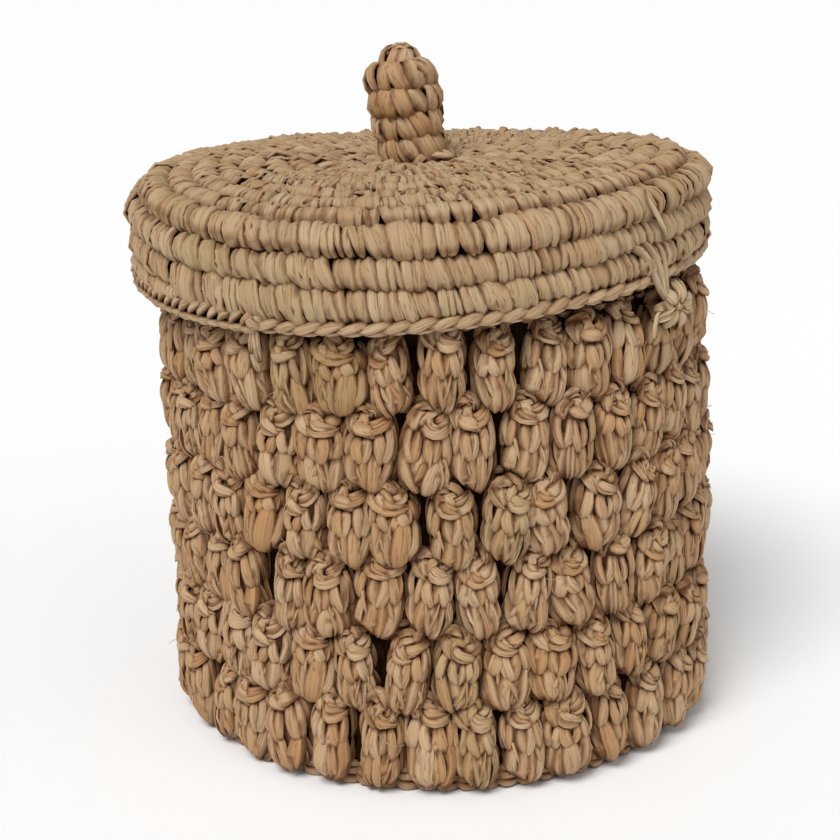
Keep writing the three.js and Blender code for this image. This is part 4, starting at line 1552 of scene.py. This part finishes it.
class BASKET_OT_knob(bpy.types.Operator):
    """Wind and stitch the knob"""

    bl_idname = "basket.knob"
    bl_label = "Knob"

    def execute(self, context):
        sizes = context.scene.raffia_sizes
        finish = wall_finish(context)
        matrix = Matrix.Translation((-1.1 * MM, 0, 0)) @ knob_matrix()

        def knob_wrap(number):
            return wrap(1201 + number * 4, sizes, 1 + number % 2, number % 3 // 2, 6.2 * MM)

        wraps = make_kinds("knob_wrap", KNOB_KINDS, knob_wrap)
        places = Places(1210, wraps)
        uniform = places.random.uniform
        lead = (1 - KNOB_JOG) / 2
        for turn in even_turns(knob_ring_point, -lead, KNOB_RINGS - 1 + lead, KNOB_SPACING):
            turned = matrix.to_3x3() @ facing_frame(polar(azimuth(0) + turn * TURN), UP)
            turned @= Matrix.Rotation(uniform(-0.35, 0.35), 3, "Y")
            size = (uniform(0.8, 1.15), uniform(0.76, 0.92), uniform(0.92, 1.05))
            places.add(matrix @ knob_ring_point(turn), turned, size)
        top = KNOB_FIRST_RING + KNOB_PITCH * (KNOB_RINGS - 1) + KNOB_CORD / 2
        parts = [
            places.set_out("rings", finish, 81, 0.08, 0.07),
            knob_core(lead, top).moved(matrix).object("core", finish),
            knob_dome(top).moved(matrix).object("dome", finish),
        ]
        nodes = ["knob_coil", "knob_core", "knob_collar", "knob_cap"]
        finish_piece(join("knob_raffia", parts), "lid", "lid_raffia", nodes)
        clear_kinds(wraps)
        return {"FINISHED"}


# The tie's directions, and its routes in millimetres
HINGE_OUT = np.array((0.77, -0.64, 0))
HINGE_SIDE = np.array((0.64, 0.77, 0))
HINGE_WIDTHS = (4.0, 4.0, 3.2)
HINGE_ROUTES = (
    (
        (64.6, -77.6, 189.2), (67.6, -79.0, 187.8), (71.2, -76.2, 185.4), (74.6, -73.0, 179.4),
        (77.2, -70.6, 173.2), (80.4, -65.0, 168.4), (81.8, -61.6, 166.6),
    ),
    (
        (69.2, -73.9, 190.2), (72.2, -75.4, 188.0), (75.6, -72.3, 183.4), (77.8, -70.2, 178.0),
        (79.0, -68.4, 172.4), (81.0, -64.2, 168), (82.4, -60.8, 166.4),
    ),
    (
        (75.0, -69.4, 189.2), (77.4, -70.9, 186.2), (79.2, -68.4, 180.8), (80.0, -67.2, 175),
        (80.8, -65.4, 170.4), (82.2, -62.0, 166.8),
    ),
)
KNOT_MIDDLE = np.array((83.4, -61.2, 165.0))
KNOT_END_ROUTE = ((82.2, -62.0, 164.0), (77.4, -68.6, 163.6), (76.2, -69.8, 160.0), (76.0, -69.4, 155.4))
LOOSE_ROUTE = (
    (70.6, -75.6, 206.4), (72.0, -77.8, 203.4), (75.6, -74.0, 197.4),
    (78.2, -71.0, 192.6), (78.4, -69.4, 188.8),
)


def tie_knot():
    """The tie's knot on the wall: petals round its middle, in an order that mixes them, and its end."""
    knot = Strands(1310)
    vary = knot.vary
    for number in (0, 5, 2, 7, 4, 1, 6, 3, 8):
        turn = (number * 40 + 14 + vary(12)) * DEGREE
        reach = HINGE_SIDE * 11.0 * math.cos(turn) + np.array((0, 0, 9.0)) * math.sin(turn)
        reach *= 1 + vary(0.16)
        bow = 1.9 + vary(0.7)
        route = ((0.9, 0.06), (bow, 0.55), (-1.7, 1))
        route = np.array([KNOT_MIDDLE + HINGE_OUT * lift + reach * share for lift, share in route])
        widths = np.array((0.5, 0.8, 1.08, 1.0, 0.6)) * (5.2 + vary(1.2))
        knot.lay(route * MM, HINGE_OUT + reach * 0.04, widths * MM, 1.5 * MM, 8, 0.7, number % 3)
    knot.lay(np.array(KNOT_END_ROUTE) * MM, HINGE_OUT, 2.2 * MM, 0.7 * MM, steps=12, ends=0.6)
    for tilt in (20, 75, 130):
        way = HINGE_SIDE * math.cos(tilt * DEGREE) + np.array(UP) * math.sin(tilt * DEGREE)
        route = ((0.2, -2.6), (2.3, 0), (0.2, 2.6))
        route = np.array([KNOT_MIDDLE + HINGE_OUT * lift + way * share for lift, share in route])
        knot.lay(route * MM, HINGE_OUT, 2.6 * MM, 1.2 * MM, ends=0.6)
    return knot.shade_crevices()


class BASKET_OT_tie(bpy.types.Operator):
    """Tie the lid on with strands and their knot on the wall, and lay a loose strand above them"""

    bl_idname = "basket.tie"
    bl_label = "Hinge tie"

    def execute(self, context):
        finish = tie_finish(context)
        hinge = Strands(1300)
        for route, width in zip(HINGE_ROUTES, HINGE_WIDTHS):
            facing = HINGE_OUT + (0, 0, 0.15)
            hinge.lay(np.array(route) * MM, facing, width * MM, 0.9 * MM, steps=18, ends=0.6, folds=1)
        piece = hinge.object("hinge_strands", finish)
        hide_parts("hinge_tie")
        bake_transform(piece)
        finish_piece(tie_knot().object("tie_strands", finish), "basket", "tie_raffia", ["tie_knot"])
        loose = Strands(1320)
        loose.lay(np.array(LOOSE_ROUTE) * MM, HINGE_OUT + (0, 0, 0.2), 3.0 * MM, 0.8 * MM, steps=14, folds=1)
        finish_piece(loose.object("loose_strand", finish), "lid", "lid_raffia", [])
        return {"FINISHED"}


class BASKET_OT_fibres(bpy.types.Operator):
    """Let fine fibres stand off the wall and the lid"""

    bl_idname = "basket.fibres"
    bl_label = "Loose fibres"

    def execute(self, context):
        count = context.scene.raffia_sizes.fibre_count
        finish = tie_finish(context)
        matrix = lid_matrix()
        for body, slot, share in (("basket", "wall_raffia", 0.65), ("lid", "lid_raffia", 0.35)):
            number = round(count * share)
            hairs = Strands(1400 + number)
            uniform = hairs.random.uniform
            for _ in range(number):
                angle = uniform(0, TURN)
                side = np.array(polar(angle + math.pi / 2))
                out = np.array(polar(angle))
                if body == "basket":
                    height = uniform(12, 160) * MM
                    start = np.array(wall_point(angle, front_radius(height) - 2.5 * MM, height))
                else:
                    radius, height = lid_profile(uniform(CROWN_TURNS - 1, CORD_TURNS))
                    start = np.array(matrix @ lid_point(angle, radius + 2 * MM, height))
                reach = uniform(5, 13) * MM
                way = side * hairs.random.choice((-1, 1)) * uniform(0.4, 1) + (0, 0, uniform(-0.8, 0.5))
                route = [start]
                for low, high, share in ((2.5, 5, 0.35), (3, 6, 0.75), (1, 6, 1)):
                    route.append(start + out * uniform(low, high) * MM + way * reach * share)
                route[-1] = route[-1] + hairs.vary(2.5 * MM)
                hairs.tube(smooth_route(route, np.linspace(0, 1, 9)), uniform(0.07, 0.14) * MM, 3, dark=0)
            finish_piece(hairs.object(f"fibres_{body}", finish), body, slot, [])
        return {"FINISHED"}


# The stage, and the camera as it stood before the photographed basket
FLOOR_REACH = 40.0
LIGHTS = (  # name, place, power and softness in degrees
    ("key_light", (-0.35, -0.7, 1.05), 2.4, 28),
    ("fill_light", (0.8, -0.7, 0.5), 0.35, 60),
)
BACKDROP_STRENGTH = 0.4
SENSOR_WIDTH = 36
CAMERA_LENS = 68.87
CAMERA_SHIFT = (-0.0275, -0.0357)
CAMERA_PLACE = (0, -0.6, 0.27764)  # from the middle of the basket's foot
CAMERA_FALL = 14.84 * DEGREE


class BASKET_OT_stage(bpy.types.Operator):
    """Set the floor, the soft lights and the camera"""

    bl_idname = "basket.stage"
    bl_label = "Stage"

    def execute(self, context):
        scene = context.scene
        mesh = bpy.data.meshes.new("floor")
        corners = ((-1, -1), (1, -1), (1, 1), (-1, 1))
        mesh.from_pydata([(x * FLOOR_REACH, y * FLOOR_REACH, 0) for x, y in corners], [], [(0, 1, 2, 3)])
        mesh.materials.append(plain_floor())
        floor = bpy.data.objects.new("floor", mesh)
        scene.collection.objects.link(floor)
        world = scene.world or bpy.data.worlds.new("studio")
        scene.world = world
        world.use_nodes = True
        backdrop = world.node_tree.nodes["Background"]
        backdrop.inputs["Color"].default_value = (1, 1, 1, 1)
        backdrop.inputs["Strength"].default_value = BACKDROP_STRENGTH
        scene.view_settings.view_transform = "Standard"
        for name, place, power, softness in LIGHTS:
            data = bpy.data.lights.new(name, "SUN")
            data.energy = power
            data.angle = softness * DEGREE
            light = bpy.data.objects.new(name, data)
            light.location = place
            light.rotation_euler = (-light.location).to_track_quat("-Z", "Y").to_euler()
            scene.collection.objects.link(light)
        data = bpy.data.cameras.new("camera")
        data.sensor_width = SENSOR_WIDTH
        data.lens = CAMERA_LENS
        data.shift_x, data.shift_y = CAMERA_SHIFT
        camera = bpy.data.objects.new("camera", data)
        camera.location = FOOT_CENTRE + Vector(CAMERA_PLACE)
        camera.rotation_euler = (math.pi / 2 - CAMERA_FALL, 0, 0)
        scene.collection.objects.link(camera)
        scene.camera = camera
        return {"FINISHED"}


OPERATORS = (
    BASKET_OT_stage,
    BASKET_OT_popcorn_wall,
    BASKET_OT_base,
    BASKET_OT_neck,
    BASKET_OT_lid,
    BASKET_OT_edging,
    BASKET_OT_knob,
    BASKET_OT_tie,
    BASKET_OT_fibres,
)


class BASKET_PT_panel(bpy.types.Panel):
    """Lists the basket's pieces, sizes and colours"""

    bl_idname = "BASKET_PT_panel"
    bl_label = "Raffia basket"
    bl_space_type = "VIEW_3D"
    bl_region_type = "UI"
    bl_category = "Raffia basket"

    def draw(self, context):
        for operator in OPERATORS:
            self.layout.operator(operator.bl_idname)
        for group in (context.scene.raffia_sizes, context.scene.raffia_colours):
            for name in group.__annotations__:
                self.layout.prop(group, name)


CLASSES = (StrandSizes, RaffiaColours, *OPERATORS, BASKET_PT_panel)


def register():
    for made in CLASSES:
        bpy.utils.register_class(made)
    bpy.types.Scene.raffia_sizes = PointerProperty(type=StrandSizes)
    bpy.types.Scene.raffia_colours = PointerProperty(type=RaffiaColours)


def unregister():
    del bpy.types.Scene.raffia_colours
    del bpy.types.Scene.raffia_sizes
    for made in reversed(CLASSES):
        bpy.utils.unregister_class(made)


def main():
    register()
    for operator in OPERATORS:
        group, name = operator.bl_idname.split(".")
        getattr(getattr(bpy.ops, group), name)()


if __name__ == "__main__":
    main()
